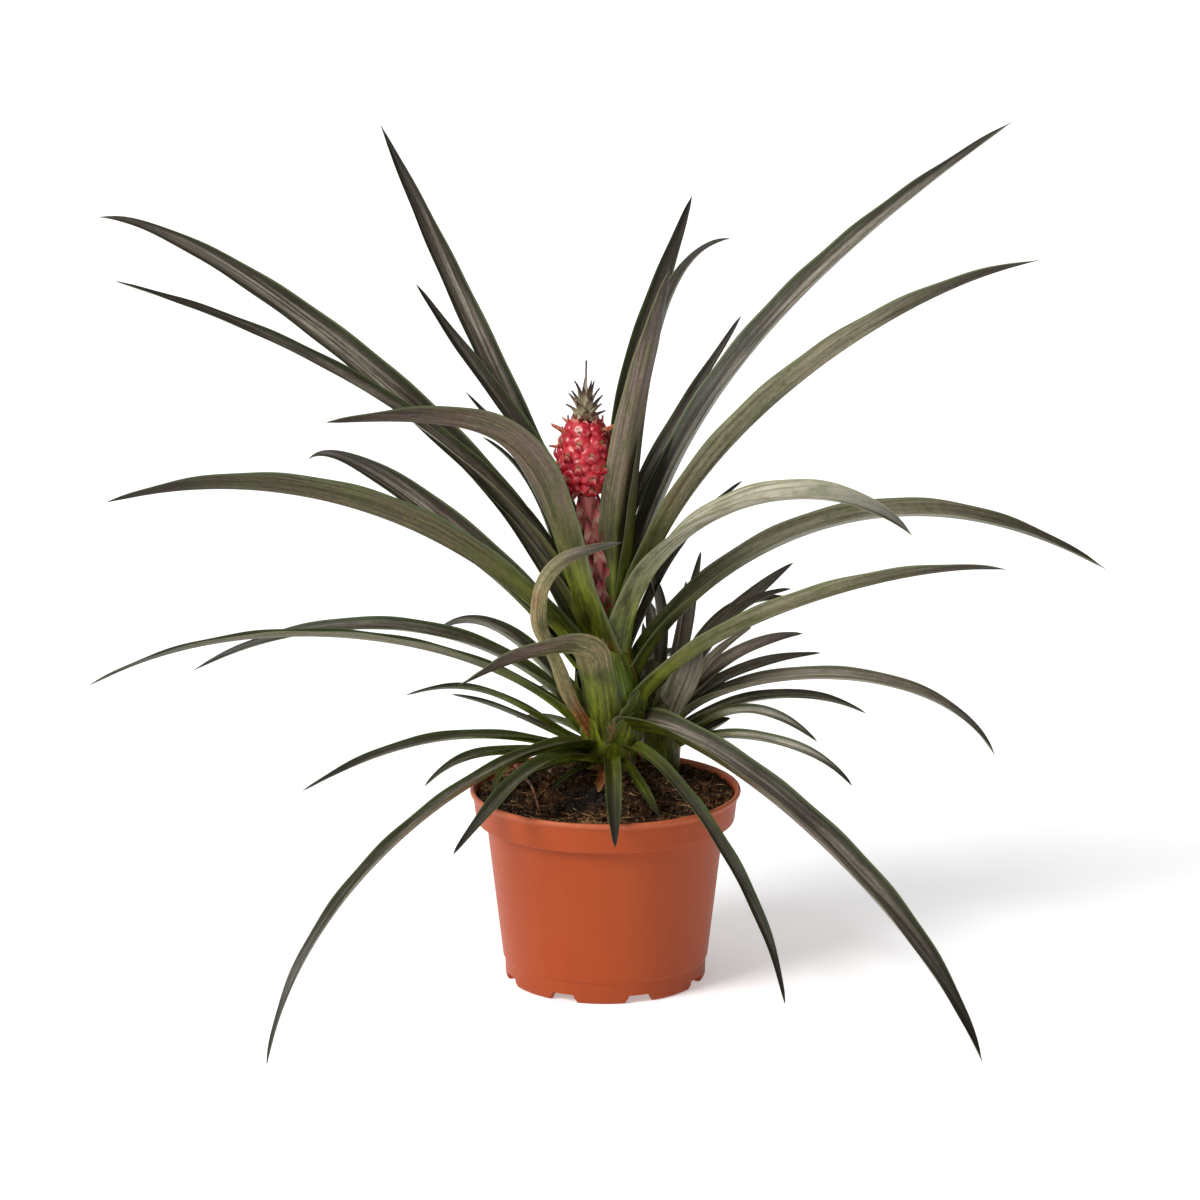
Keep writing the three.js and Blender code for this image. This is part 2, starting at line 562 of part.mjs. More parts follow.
// The fruit is a rounded body covered with staggered rows of swollen berries. Pointed bracts hang
// out below it, and a few dried flowers stand out round its shoulder.
function fruitSolid() {
  const core = new THREE.SphereGeometry(1, 10, 8).rotateX(Math.PI / 2)
    .scale(FRUIT.radius, FRUIT.radius, FRUIT.halfHeight);
  const pieces = [solidFrom(core)];
  for (let row = 0; row < FRUIT.rows; row += 1) {
    const level = 0.82 * ((2 * row) / (FRUIT.rows - 1) - 1);
    const girth = FRUIT.radius * Math.sqrt(1 - level ** 2 * 0.82);
    const count = row === 0 || row === FRUIT.rows - 1 ? FRUIT.around - 2 : FRUIT.around;
    for (let k = 0; k < count; k += 1) {
      const angle = (2 * Math.PI * (k + (row % 2) / 2)) / count;
      const berry = new THREE.SphereGeometry(1, 6, 3).rotateX(Math.PI / 2).rotateY(Math.PI / 2);
      berry.scale(...FRUIT.berry).rotateZ(angle);
      berry.translate(...around(angle, girth, level * FRUIT.halfHeight));
      pieces.push(solidFrom(berry));
    }
  }
  for (let k = 0; k < FRUIT.bracts; k += 1) {
    const angle = radians((360 / FRUIT.bracts) * k + 20);
    const root = around(angle, 6, -FRUIT.halfHeight + 4);
    pieces.push(pointedScale(root, around(angle, 15, -FRUIT.halfHeight - 1 + (k % 3) * 3), 6, 1.8));
  }
  for (let k = 0; k < FRUIT.flowers; k += 1) {
    const angle = radians((360 / FRUIT.flowers) * k + 15);
    const height = FRUIT.halfHeight * (0.45 + 0.25 * (k % 2));
    const root = around(angle, 8, height);
    pieces.push(pointedScale(root, around(angle, 17.5, height + 5), 4.4, 3));
  }
  return fused(pieces).translate(fruitCentre.toArray());
}

// The crown is a tuft of small stiff leaves round one long middle spike.
function crownSolid() {
  const random = seededRandom(11);
  const core = turned([[0, 0], [CROWN.radius, 0], [3.4, 7], [1.2, 14], [0, 15]], 10);
  const tuft = [solidFrom(core)];
  for (let k = 0; k < CROWN.leaves; k += 1) {
    const share = k / (CROWN.leaves - 1);
    const angle = radians(137.5 * k);
    const lean = radians(THREE.MathUtils.lerp(62, 8, share) + 6 * (random() - 0.5));
    const length = THREE.MathUtils.lerp(CROWN.shortest, CROWN.longest, share) * (0.9 + 0.2 * random());
    const root = around(angle, 2.2, 1.5 + 7 * share);
    const tip = root.clone().add(around(angle, length * Math.sin(lean), length * Math.cos(lean)));
    tuft.push(pointedScale(root, tip, THREE.MathUtils.lerp(4.6, 3, share), 1.6));
  }
  tuft.push(pointedScale(new THREE.Vector3(0.4, 0, 8), new THREE.Vector3(0.6, 0, CROWN.spike), 3, 2));
  return fused(tuft).translate(crownSeat.toArray());
}

// ---------------------------------------------------------------- offshoot

// A young side shoot: a short core with all its leaves grown together at the foot.
function offshootSolid(clearance) {
  const radius = OFFSHOOT.radius + clearance;
  const core = turned([
    [0, OFFSHOOT.foot - clearance], [radius, OFFSHOOT.foot - clearance], [radius, OFFSHOOT.shoulder],
    [radius * 0.6, OFFSHOOT.top - 6], [0, OFFSHOOT.top + clearance],
  ], 14);
  const shoot = [solidFrom(core).translate([OFFSHOOT.x, OFFSHOOT.y, 0])];
  for (const leaf of OFFSHOOT_LEAVES) {
    shoot.push(bladeSolid(leaf, ribOf(leaf, OFFSHOOT, 2), clearance));
  }
  return fused(shoot);
}

// ---------------------------------------------------------------- assembly

const stem = stemSolid(0);
const offshoot = offshootSolid(0);
const soil = largestBody(soilSolid()
  .subtract(plantingHole(STEM, STEM.buriedRadius))
  .subtract(plantingHole(OFFSHOOT, OFFSHOOT.radius)));

addPiece('pot', geometryFrom(potSolid()), COLOURS.pot, 0.5);
addPiece('soil', geometryFrom(soil), COLOURS.soil, 1);
addPiece('main_stem', geometryFrom(stem), COLOURS.stem, 0.6);
addPiece('fruit_stalk', geometryFrom(stalkSolid(0)), COLOURS.stalk, 0.6);
addPiece('fruit', geometryFrom(fruitSolid()), COLOURS.fruit, 0.35);
addPiece('crown', geometryFrom(crownSolid()), COLOURS.crown, 0.6);
addPiece('offshoot', geometryFrom(offshoot), COLOURS.offshoot, 0.5);

// Each leaf is seated against the stem and against the leaves that sit further in: its root is
// cut back by them, with the usual gap.
let taken = stemSolid(GAP).add(stalkSolid(GAP)).add(offshootSolid(GAP));
const innerFirst = [...LEAVES].sort((a, b) => b.root - a.root);
const ribs = [
  ...innerFirst.map((leaf) => [leaf, ribOf(leaf, STEM, rootRadius(leaf.root)), COLOURS.leaf]),
  ...FOLDED_LEAVES.map((leaf) => {
    const points = leaf.rib.map((point) => new THREE.Vector3(...point));
    return [leaf, new THREE.CatmullRomCurve3(points, false, 'centripetal'), COLOURS.witheredLeaf];
  }),
];
for (const [leaf, rib, colour] of ribs) {
  const blade = largestBody(bladeSolid(leaf, rib).subtract(taken));
  addPiece(leaf.name, geometryFrom(blade), colour, 0.45);
  taken = taken.add(bladeSolid(leaf, rib, GAP));
}

export default plant;
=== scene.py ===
# A small ornamental pineapple plant in a round nursery pot.
# Sizes are in millimetres and become metres when a mesh is made. +Z is up and -Y is the front.
# A leaf's turn is the compass direction in which it grows: 0 is right, 90 back, 180 left, 270 front.

import math

import bpy
import numpy as np
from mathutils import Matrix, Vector


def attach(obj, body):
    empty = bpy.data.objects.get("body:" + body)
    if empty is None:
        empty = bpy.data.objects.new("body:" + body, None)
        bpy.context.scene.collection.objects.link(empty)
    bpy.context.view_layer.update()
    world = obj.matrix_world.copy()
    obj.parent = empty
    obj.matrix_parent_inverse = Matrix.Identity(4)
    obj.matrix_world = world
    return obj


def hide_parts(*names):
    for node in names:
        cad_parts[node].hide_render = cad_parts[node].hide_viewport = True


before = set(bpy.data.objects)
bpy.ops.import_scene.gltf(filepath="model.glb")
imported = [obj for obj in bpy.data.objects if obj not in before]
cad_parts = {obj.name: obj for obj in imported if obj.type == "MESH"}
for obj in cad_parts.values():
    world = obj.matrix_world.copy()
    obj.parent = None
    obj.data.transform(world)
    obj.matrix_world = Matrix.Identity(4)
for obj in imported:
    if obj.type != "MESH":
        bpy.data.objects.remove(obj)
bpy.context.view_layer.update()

# ---------------------------------------------------------------- pot
# A round nursery pot, injection-moulded in terracotta-coloured polypropylene: a thin wall, a wide
# band under a beaded lip, a parting step above the foot ring, and flared drainage notches in it.

MM = 0.001

POT_UNDERSIDE = [(0, 6), (50.5, 6), (51.5, 0), (54.6, 0)]
POT_OUTSIDE = [(55.7, 1.4), (56, 11.8), (57, 12.6), (66, 90), (71.5, 90.6), (73.1, 104), (74.6, 105.4),
               (75, 106.7), (74.4, 108)]
POT_INSIDE = [(72.8, 108), (71.5, 105), (69.9, 92.2), (64.4, 91.2), (55, 7.6)]
POT_FLOOR = [(0, 7.6)]
POT_SIDES = 288
NOTCH_TURNS = -70 + 45 * np.arange(8)
NOTCH_HALF_AT_FOOT, NOTCH_HALF_AT_TOP, NOTCH_HEIGHT = 8.05, 6.0, 4.6
FOOT_RING = 53.5
POT_CORNER_RADIUS = 0.9
DRAIN_RADIUS, DRAIN_RING, DRAIN_SIDES = 4.0, 44.0, 32


def linear(hex_colour):
    """An sRGB hex colour as linear RGBA: a channel c becomes ((c + 0.055) / 1.055) ** 2.4, or c / 12.92
    where it is below 0.04045."""
    c = np.array([int(hex_colour[i:i + 2], 16) for i in (1, 3, 5)]) / 255
    c = np.where(c < 0.04045, c / 12.92, ((c + 0.055) / 1.055) ** 2.4)
    return (*c.tolist(), 1.0)


def add(tree, kind, inputs=(), stops=None, **settings):
    """Adds a shader node. Inputs are values or sockets, listed in the node's order or given by name or
    number, stops are a colour ramp's places and colours, and settings are the node's own properties.
    Returns its outputs."""
    node = tree.nodes.new("ShaderNode" + kind)
    for name, value in settings.items():
        setattr(node, name, value)
    if stops:
        while len(node.color_ramp.elements) < len(stops):
            node.color_ramp.elements.new(0.5)
        for element, (place, colour) in zip(node.color_ramp.elements, stops):
            element.position = place
            element.color = linear(colour)
    for key, value in inputs.items() if isinstance(inputs, dict) else enumerate(inputs):
        if isinstance(value, bpy.types.NodeSocket):
            tree.links.new(value, node.inputs[key])
        else:
            node.inputs[key].default_value = value
    return node.outputs


def new_material(name):
    """An empty node material and its tree."""
    material = bpy.data.materials.new(name)
    material.use_nodes = True
    material.node_tree.nodes.clear()
    return material, material.node_tree


def rounded(corners, radius, steps=5):
    """A profile whose inner corners are bridged by quadratic curves: with a and c at the radius, or at
    0.45 of the side, before and after corner b, its points are (1-t)^2 a + 2t(1-t) b + t^2 c."""
    corners = np.array(corners, float)
    before, corner, after = corners[:-2], corners[1:-1], corners[2:]
    back, ahead = before - corner, after - corner
    back_length = np.linalg.norm(back, axis=1, keepdims=True)
    ahead_length = np.linalg.norm(ahead, axis=1, keepdims=True)
    a = corner + back * np.minimum(radius / back_length, 0.45)
    c = corner + ahead * np.minimum(radius / ahead_length, 0.45)
    t = np.linspace(0, 1, steps)[None, :, None]
    curves = (1 - t) ** 2 * a[:, None] + 2 * t * (1 - t) * corner[:, None] + t ** 2 * c[:, None]
    return np.concatenate([corners[:1], curves.reshape(-1, 2), corners[-1:]])


def skin(name, rings, sharp=60, **places):
    """A mesh of closed skins, from rings of points of shape (skins, rings, points, 3). Quads join the
    neighbouring rings, and a fan to the middle of the first and last ring closes each end. If the
    volume inside comes out negative, every face is turned round. Places are attributes of the points."""
    skins, count, around = rings.shape[:3]

    def with_middles(values):
        body = values.reshape(skins, count * around, -1)
        return np.concatenate([body, values[:, :1].mean(2), values[:, -1:].mean(2)], axis=1)

    points = with_middles(rings).reshape(-1, 3) * MM
    here = np.arange(around)
    ahead = (here + 1) % around
    row = np.arange(count - 1)[:, None] * around
    quads = np.stack([row + here, row + ahead, row + ahead + around, row + here + around], -1).reshape(-1, 4)
    middle, last = count * around, (count - 1) * around
    fans = np.concatenate([
        np.stack([np.full(around, middle), ahead, here], -1),
        np.stack([np.full(around, middle + 1), last + here, last + ahead], -1),
    ])
    offset = (np.arange(skins) * (count * around + 2))[:, None, None]
    quads = (quads + offset).reshape(-1, 4)
    fans = (fans + offset).reshape(-1, 3)
    halves = np.concatenate([quads[:, :3], quads[:, [0, 2, 3]], fans])
    a, b, c = (points[halves[:, i]] for i in range(3))
    if np.einsum("ij,ij->", a, np.cross(b, c)) < 0:
        quads, fans = quads[:, ::-1], fans[:, ::-1]

    mesh = bpy.data.meshes.new(name)
    mesh.vertices.add(len(points))
    mesh.vertices.foreach_set("co", points.ravel())
    mesh.loops.add(quads.size + fans.size)
    mesh.loops.foreach_set("vertex_index", np.concatenate([quads.ravel(), fans.ravel()]))
    mesh.polygons.add(len(quads) + len(fans))
    starts = np.concatenate([np.arange(len(quads)) * 4, quads.size + np.arange(len(fans)) * 3])
    mesh.polygons.foreach_set("loop_start", starts)
    mesh.update(calc_edges=True)
    mesh.shade_smooth()
    mesh.set_sharp_from_angle(angle=math.radians(sharp))
    for place, values in places.items():
        attribute = mesh.attributes.new(place, "FLOAT_VECTOR", "POINT")
        attribute.data.foreach_set("vector", with_middles(values).astype(np.float32).ravel())
    piece = bpy.data.objects.new(name, mesh)
    bpy.context.scene.collection.objects.link(piece)
    return piece


def place(piece, material, slot, *nodes):
    """Gives a piece its material, and lets it stand for CAD nodes and ride on the body. Its slot is not
    used.
    """
    piece.data.materials.append(material)
    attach(piece, "root")
    if nodes:
        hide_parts(*nodes)
    return piece


def turned(profile, angles, floor=0):
    """A profile of radii and heights turned about Z: (r cos a, r sin a, the larger of h and floor)."""
    r, h = np.array(profile)[:, 0:1], np.array(profile)[:, 1:2]
    return np.stack([r * np.cos(angles), r * np.sin(angles), np.maximum(h, floor) + 0 * angles], -1)


# The foot ring's lower edge rises to the notch's height within a notch, along slanted sides.
notch_sides = np.radians(NOTCH_TURNS)[:, None] + np.array(
    [-NOTCH_HALF_AT_FOOT, -NOTCH_HALF_AT_TOP, NOTCH_HALF_AT_TOP, NOTCH_HALF_AT_FOOT]) / FOOT_RING
pot_angles = np.sort(np.concatenate([
    np.linspace(0, 2 * np.pi, POT_SIDES, endpoint=False), notch_sides.ravel() % (2 * np.pi)]))
from_notch = (pot_angles[:, None] - np.radians(NOTCH_TURNS) + np.pi) % (2 * np.pi) - np.pi
from_notch = np.abs(from_notch).min(1) * FOOT_RING
notch_roof = NOTCH_HEIGHT * np.clip(
    (NOTCH_HALF_AT_FOOT - from_notch) / (NOTCH_HALF_AT_FOOT - NOTCH_HALF_AT_TOP), 0, 1)
pot_profile = rounded(POT_UNDERSIDE + POT_OUTSIDE + POT_INSIDE + POT_FLOOR, POT_CORNER_RADIUS)
pot = skin("nursery_pot", turned(pot_profile, pot_angles, notch_roof)[None], sharp=40)

# The drain holes are cut through the floor, one behind each notch.
drain_angles = np.linspace(0, 2 * np.pi, DRAIN_SIDES, endpoint=False)
drain = turned([(DRAIN_RADIUS, 4), (DRAIN_RADIUS, 10)], drain_angles)
drain_turns = np.radians(NOTCH_TURNS)[:, None, None]
drains = drain[None] + DRAIN_RING * np.stack(
    [np.cos(drain_turns), np.sin(drain_turns), 0 * drain_turns], -1)
cutter = skin("drain_cutter", drains)
cut = pot.modifiers.new("drain_holes", "BOOLEAN")
cut.operation = "DIFFERENCE"
cut.object = cutter
whole = pot.evaluated_get(bpy.context.evaluated_depsgraph_get())
drilled = bpy.data.meshes.new_from_object(whole)
pot.modifiers.clear()
pot.data = drilled
bpy.data.objects.remove(cutter)

# Moulded polypropylene, filled with terracotta pigment: an even satin shine with faint flow marks, a fine
# orange-peel grain, a painted highlight in patches on the lip, and patches of darker colour round the foot.
moulded, tree = new_material("terracotta_polypropylene")
spot = add(tree, "TexCoord")["Object"]
height = add(tree, "SeparateXYZ", [spot])[2]
flow = add(tree, "TexNoise", {"Vector": add(tree, "Mapping", {0: spot, 3: (1, 1, 0.25)})[0],
                              "Scale": 22, "Detail": 5, "Roughness": 0.6})[0]
patch_noise = add(tree, "TexNoise", {"Vector": spot, "Scale": 260, "Detail": 6, "Roughness": 0.7})[0]
peel = add(tree, "TexNoise", {"Vector": spot, "Scale": 1400, "Detail": 3})[0]
colour = add(tree, "ValToRGB", [flow], [(0.25, "#9c3e14"), (0.55, "#a34418"), (0.8, "#aa4b20")])[0]
near_lip = add(tree, "MapRange", [height, 0.1035, 0.1075], interpolation_type="SMOOTHSTEP")[0]
near_foot = add(tree, "MapRange", [height, 0, 0.016, 0.5, 0])[0]
# The lip gets patches of painted highlight, and round the foot the colour is darker in patches.
for near, shade in ((near_lip, "#c4704e"), (near_foot, "#823a20")):
    amount = add(tree, "Math", [near, patch_noise], operation="MULTIPLY")[0]
    colour = add(tree, "Mix", {0: amount, 6: colour, 7: linear(shade)}, data_type="RGBA")[2]
shine = add(tree, "MapRange", [patch_noise, 0.3, 0.7, 0.42, 0.52])[0]
grain = add(tree, "Bump", {"Strength": 0.12, "Distance": 0.0002, "Height": peel})[0]
surface = add(tree, "BsdfPrincipled", {
    "Base Color": colour, "Roughness": shine, "IOR": 1.49, "Normal": grain, "Specular IOR Level": 0.24})
add(tree, "OutputMaterial", [surface[0]])
place(pot, moulded, "pot", "pot")

# ---------------------------------------------------------------- soil
# Peat potting soil fills the pot to just below its lip and is mounded round the stem. Its surface is
# crumbly, with loose crumbs, roots and straw fibres, and withered strands lying on it.

STEM_X, STEM_Y = 3, 15
SOIL_SIDE = [(0, 7.9), (54.7, 7.9), (64.1, 91.5), (69.6, 92.5), (70.9, 102.6)]
SOIL_EDGE_HEIGHT = 103.5
SOIL_MOUND, SOIL_MOUND_SPREAD = 13.5, 30
SOIL_WAVES, SOIL_TEXTURE_DEPTH = 0.7, 4.4
SOIL_RADIUS, SOIL_RINGS, SOIL_SIDES = 70.9, 120, 420
CLOD_X, CLOD_Y, CLOD_Z, CLOD_SPREAD, CLOD_RISE = -8.5, -26, 106, 15, 2.6
CRUMBS, CRUMBS_REACH = 900, 69
FIBRES, FIBRES_REACH, FIBRES_EDGE = 300, 67, 69.5


def random_field(x, y, size, seed):
    """Smooth random heights from 0 to 1: random values on a grid of squares of that size, blended inside
    each square by f^2 (3 - 2f) of the place in it."""
    table = np.random.default_rng(seed).random((64, 64))
    u, v = x / size + 1000, y / size + 1000
    i, j = np.floor(u).astype(int), np.floor(v).astype(int)
    f, g = u - i, v - j
    f, g = f * f * (3 - 2 * f), g * g * (3 - 2 * g)
    near = table[i % 64, j % 64] * (1 - g) + table[i % 64, (j + 1) % 64] * g
    far = table[(i + 1) % 64, j % 64] * (1 - g) + table[(i + 1) % 64, (j + 1) % 64] * g
    return near * (1 - f) + far * f


def soil_height(x, y):
    """The mound is a bell curve round the stem, and on it lie low waves, lumps and crumbs of two sizes
    each, and a large clod, a lower bell curve."""
    distance = np.hypot(x - STEM_X, y - STEM_Y)
    mound = SOIL_MOUND * np.exp(-((distance / SOIL_MOUND_SPREAD) ** 2) / 2)
    waves = np.sin(x / 7.3 + 1) * np.cos(y / 6.1) + 0.5 * np.sin(x / 3.1 + y / 4.7 + 2)
    lumps = 3.6 * random_field(x, y, 8, 1) + 2.4 * random_field(x, y, 3.1, 2)
    clod = CLOD_RISE * np.exp(-((x - CLOD_X) ** 2 + (y - CLOD_Y) ** 2) / CLOD_SPREAD ** 2)
    crumbs = 1.5 * np.abs(2 * random_field(x, y, 1.5, 3) - 1) + 0.7 * random_field(x, y, 0.8, 4)
    return SOIL_EDGE_HEIGHT + mound + SOIL_WAVES * waves + lumps + clod + crumbs - SOIL_TEXTURE_DEPTH


soil_angles = np.linspace(0, 2 * np.pi, SOIL_SIDES, endpoint=False)
soil_side = turned(SOIL_SIDE, soil_angles)
soil_radii = SOIL_RADIUS * np.linspace(1, 0, SOIL_RINGS, endpoint=False) ** 0.8
soil_top = turned([(radius, 0) for radius in soil_radii], soil_angles)
soil_top[..., 2] = soil_height(soil_top[..., 0], soil_top[..., 1])
soil = skin("peat_soil", np.concatenate([soil_side, soil_top])[None], sharp=180)

# Peat: brown crumbs from nearly black to rust, with fine golden and grey fibres. It is dull and rough.
peat, tree = new_material("moist_peat")
spot = add(tree, "TexCoord")["Object"]
crumb = add(tree, "TexVoronoi", {"Vector": spot, "Scale": 560})["Color"]
shade = add(tree, "SeparateXYZ", [crumb])[0]
patch = add(tree, "TexNoise", {"Vector": spot, "Scale": 40, "Detail": 3})[0]
speck = add(tree, "TexNoise", {"Vector": spot, "Scale": 900, "Detail": 4, "Roughness": 0.7})[0]
shade = add(tree, "Math", [shade, 0.45, add(tree, "Math", [patch, -0.1])[0]],
            operation="MULTIPLY_ADD")[0]
colour = add(tree, "ValToRGB", [shade], [
    (0.28, "#140f0a"), (0.5, "#291d13"), (0.7, "#402b1c"), (0.84, "#5c3f27"), (0.96, "#8d6a42")])[0]
strand = add(tree, "Mapping", {0: spot, 2: (0.3, 0.2, 0.6), 3: (1, 0.12, 0.3)})[0]
strand = add(tree, "TexNoise", {"Vector": strand, "Scale": 1300, "Detail": 2})[0]
strand = add(tree, "MapRange", [strand, 0.66, 0.72])[0]
to_clod = add(tree, "VectorMath", [spot, (CLOD_X * MM, CLOD_Y * MM, CLOD_Z * MM)], operation="DISTANCE")[1]
ragged = add(tree, "Math", [patch, 0.02, to_clod], operation="MULTIPLY_ADD")[0]
damp = add(tree, "MapRange", [ragged, 0.027, 0.017, 0, 0.75])[0]
# Fibres in it show golden, and the clod in front is damp, blue-black clay.
for amount, shade in ((strand, "#a98450"), (damp, "#1f2021")):
    colour = add(tree, "Mix", {0: amount, 6: colour, 7: linear(shade)}, data_type="RGBA")[2]
grit = add(tree, "Bump", {"Strength": 0.7, "Distance": 0.0012, "Height": speck})[0]
surface = add(tree, "BsdfPrincipled", {
    "Base Color": colour, "Roughness": 0.92, "IOR": 1.4, "Normal": grit, "Specular IOR Level": 0.2})
add(tree, "OutputMaterial", [surface[0]])
place(soil, peat, "soil", "soil")

# Loose crumbs lie all over the surface: squashed balls of six sides, each with its own radius and tilt.
draw = np.random.default_rng(7)
crumb_from_middle = CRUMBS_REACH * np.sqrt(draw.random(CRUMBS))
crumb_turn = 2 * np.pi * draw.random(CRUMBS)
crumb_x, crumb_y = crumb_from_middle * np.cos(crumb_turn), crumb_from_middle * np.sin(crumb_turn)
crumb_at = np.stack([crumb_x, crumb_y, soil_height(crumb_x, crumb_y) + 0.3], -1)
polar = np.radians([25, 70, 115, 155])[:, None]
circle = np.linspace(0, 2 * np.pi, 6, endpoint=False)
ball = np.stack([
    np.sin(polar) * np.cos(circle), np.sin(polar) * np.sin(circle), np.cos(polar) + 0 * circle], -1)
crumb_size = 0.5 + 1.6 * draw.random((CRUMBS, 1, 1, 1)) ** 3
stretch = 0.6 + 0.7 * draw.random((CRUMBS, 1, 1, 3))
ruggedness = 0.75 + 0.5 * draw.random((CRUMBS, 4, 6, 1))
crumbs = crumb_at[:, None, None] + ball[None] * crumb_size * stretch * ruggedness
place(skin("loose_crumbs", crumbs, sharp=180), peat, "soil")


def tubes(paths, radii, sides=4):
    """Thin tubes along paths of shape (tubes, rings, 3), with radii of shape (tubes, rings): a ring is
    p + r (n cos a + b sin a), where n and b are level and upright, square to the path's chord."""
    chord = paths[:, -1:] - paths[:, :1]
    n = np.cross(chord, [0, 0, 1.0])
    n = n / np.maximum(np.linalg.norm(n, axis=-1, keepdims=True), 1e-6)
    b = np.cross(n, chord / np.linalg.norm(chord, axis=-1, keepdims=True))
    a = np.linspace(0, 2 * np.pi, sides, endpoint=False)[:, None]
    spokes = n[:, :, None] * np.cos(a) + b[:, :, None] * np.sin(a)
    return paths[:, :, None] + radii[:, :, None, None] * spokes


# Roots and straw fibres lie over the crumbs in shallow arcs, some with an end in the air.
fibre_from_middle = FIBRES_REACH * np.sqrt(draw.random((FIBRES, 1)))
fibre_turn = 2 * np.pi * draw.random((FIBRES, 1))
fibre_length = 4 + 18 * draw.random((FIBRES, 1)) ** 2
fibre_heading = 2 * np.pi * draw.random((FIBRES, 1))
fibre_bend = 4 * (draw.random((FIBRES, 1)) - 0.5)
fibre_rise = 0.4 + 3 * draw.random((FIBRES, 1)) ** 4
along = np.linspace(-0.5, 0.5, 11)
heading = fibre_heading + fibre_bend * along
fibre_x = fibre_from_middle * np.cos(fibre_turn) + fibre_length * along * np.cos(heading)
fibre_y = fibre_from_middle * np.sin(fibre_turn) + fibre_length * along * np.sin(heading)
outside = np.maximum(np.hypot(fibre_x, fibre_y) / FIBRES_EDGE, 1)
fibre_x, fibre_y = fibre_x / outside, fibre_y / outside
fibre_z = soil_height(fibre_x, fibre_y).mean(1, keepdims=True) + fibre_rise * (0.5 + along) + 0.9
fibre_radius = (0.1 + 0.24 * draw.random((FIBRES, 1)) ** 2) * (1.1 - np.abs(along))
fibres = tubes(np.stack([fibre_x, fibre_y, fibre_z], -1), fibre_radius)
fibre_piece = skin("straw_fibres", fibres)

# Dry straw and root fibre: golden to pinkish tan, from fibre to fibre, with a faint dry shine.
straw, tree = new_material("dry_straw")
spot = add(tree, "TexCoord")["Object"]
shade = add(tree, "TexNoise", {"Vector": spot, "Scale": 130, "Detail": 2})[0]
colour = add(tree, "ValToRGB", [shade], [
    (0.3, "#2c1a10"), (0.46, "#5a3820"), (0.56, "#8c6238"), (0.7, "#c19c68")])[0]
surface = add(tree, "BsdfPrincipled", {"Base Color": colour, "Roughness": 0.7, "IOR": 1.45})
add(tree, "OutputMaterial", [surface[0]])
place(fibre_piece, straw, "soil")

# A broken stalk and two thinner strands lie at the left: their radius, and points that they are drawn
# through. The line between the points is evened out by a mean over its neighbours.
STRANDS = [
    (1.1, [(-51.5, 20, 117), (-46, 9, 112), (-41, -1, 109.5), (-38, -22, 108), (-36, -44, 106.5)]),
    (0.6, [(-33, 22, 112), (-27, 10, 111), (-30, -2, 108.5), (-23, -12, 108.5), (-24, -22, 107)]),
    (0.5, [(-29, 24, 113), (-33, 12, 110), (-24, 0, 109), (-28, -12, 108), (-33, -20, 107)])]
strand_share = np.linspace(0, 4, 33)
strand_paths = np.stack([np.stack([np.interp(strand_share, range(5), axis) for axis in zip(*points)], -1)
                         for thick, points in STRANDS])
strand_paths = (strand_paths + np.roll(strand_paths, 2, 1) + np.roll(strand_paths, -2, 1))[:, 2:-2] / 3
strand_radii = np.array([[thick] for thick, points in STRANDS]) * (1.1 - 0.6 * np.linspace(0, 1, 29))
strands = skin("withered_strands", tubes(strand_paths, strand_radii, sides=8))

# Withered stalk: dull reddish brown, streaked with pale tan where its skin has worn off.
withered, tree = new_material("withered_stalk")
spot = add(tree, "TexCoord")["Object"]
shade = add(tree, "TexNoise", {"Vector": spot, "Scale": 260, "Detail": 4})[0]
colour = add(tree, "ValToRGB", [shade], [(0.3, "#4a2216"), (0.5, "#7c4a34"), (0.65, "#a8745a")])[0]
surface = add(tree, "BsdfPrincipled", {"Base Color": colour, "Roughness": 0.6, "IOR": 1.45})
add(tree, "OutputMaterial", [surface[0]])
place(strands, withered, "soil")

# ---------------------------------------------------------------- main stem
# The short stem stands in the soil, wrapped in leaf bases that overlap one another.
# They are fleshy and pale green, and rust-brown where they have dried along their edges.

STEM_FOOT, STEM_TOP, STEM_BURIED_RADIUS = 84, 192, 9.5
STEM_GIRTH = [(9.5, 121), (11.5, 128), (14, 138), (15.5, 150), (15.5, 163), (14, 174), (11, 183), (6.5, 190)]
STEM_CORNER_RADIUS, STEM_CORNER_STEPS, STEM_SIDES = 9, 9, 240
STEM_WRAPS, STEM_WRAP_DEPTH, STEM_WRAP_PITCH = 3, 0.08, 140

stem_profile = [(0, STEM_FOOT), (STEM_BURIED_RADIUS, STEM_FOOT)] + STEM_GIRTH + [(0, STEM_TOP)]
stem_profile = rounded(stem_profile, STEM_CORNER_RADIUS, STEM_CORNER_STEPS)
stem_angles = np.linspace(0, 2 * np.pi, STEM_SIDES, endpoint=False)
stem = turned(stem_profile, stem_angles)
half_turns = (stem_angles + np.pi) % (2 * np.pi) - np.pi
wrap = ((half_turns / (2 * np.pi) + 1) * STEM_WRAPS + stem[..., 2] / STEM_WRAP_PITCH) % 1
swell = 1 + STEM_WRAP_DEPTH * wrap ** 0.7 * (stem[..., 2] > STEM_GIRTH[0][1])
stem[..., :2] *= swell[..., None]
stem_grain = np.stack([wrap * 30, stem[..., 2], wrap], -1)
stem = stem + np.array([STEM_X, STEM_Y, 0])
stem_piece = skin("leaf_base_stem", stem[None], sharp=50, blade_grain=stem_grain[None])

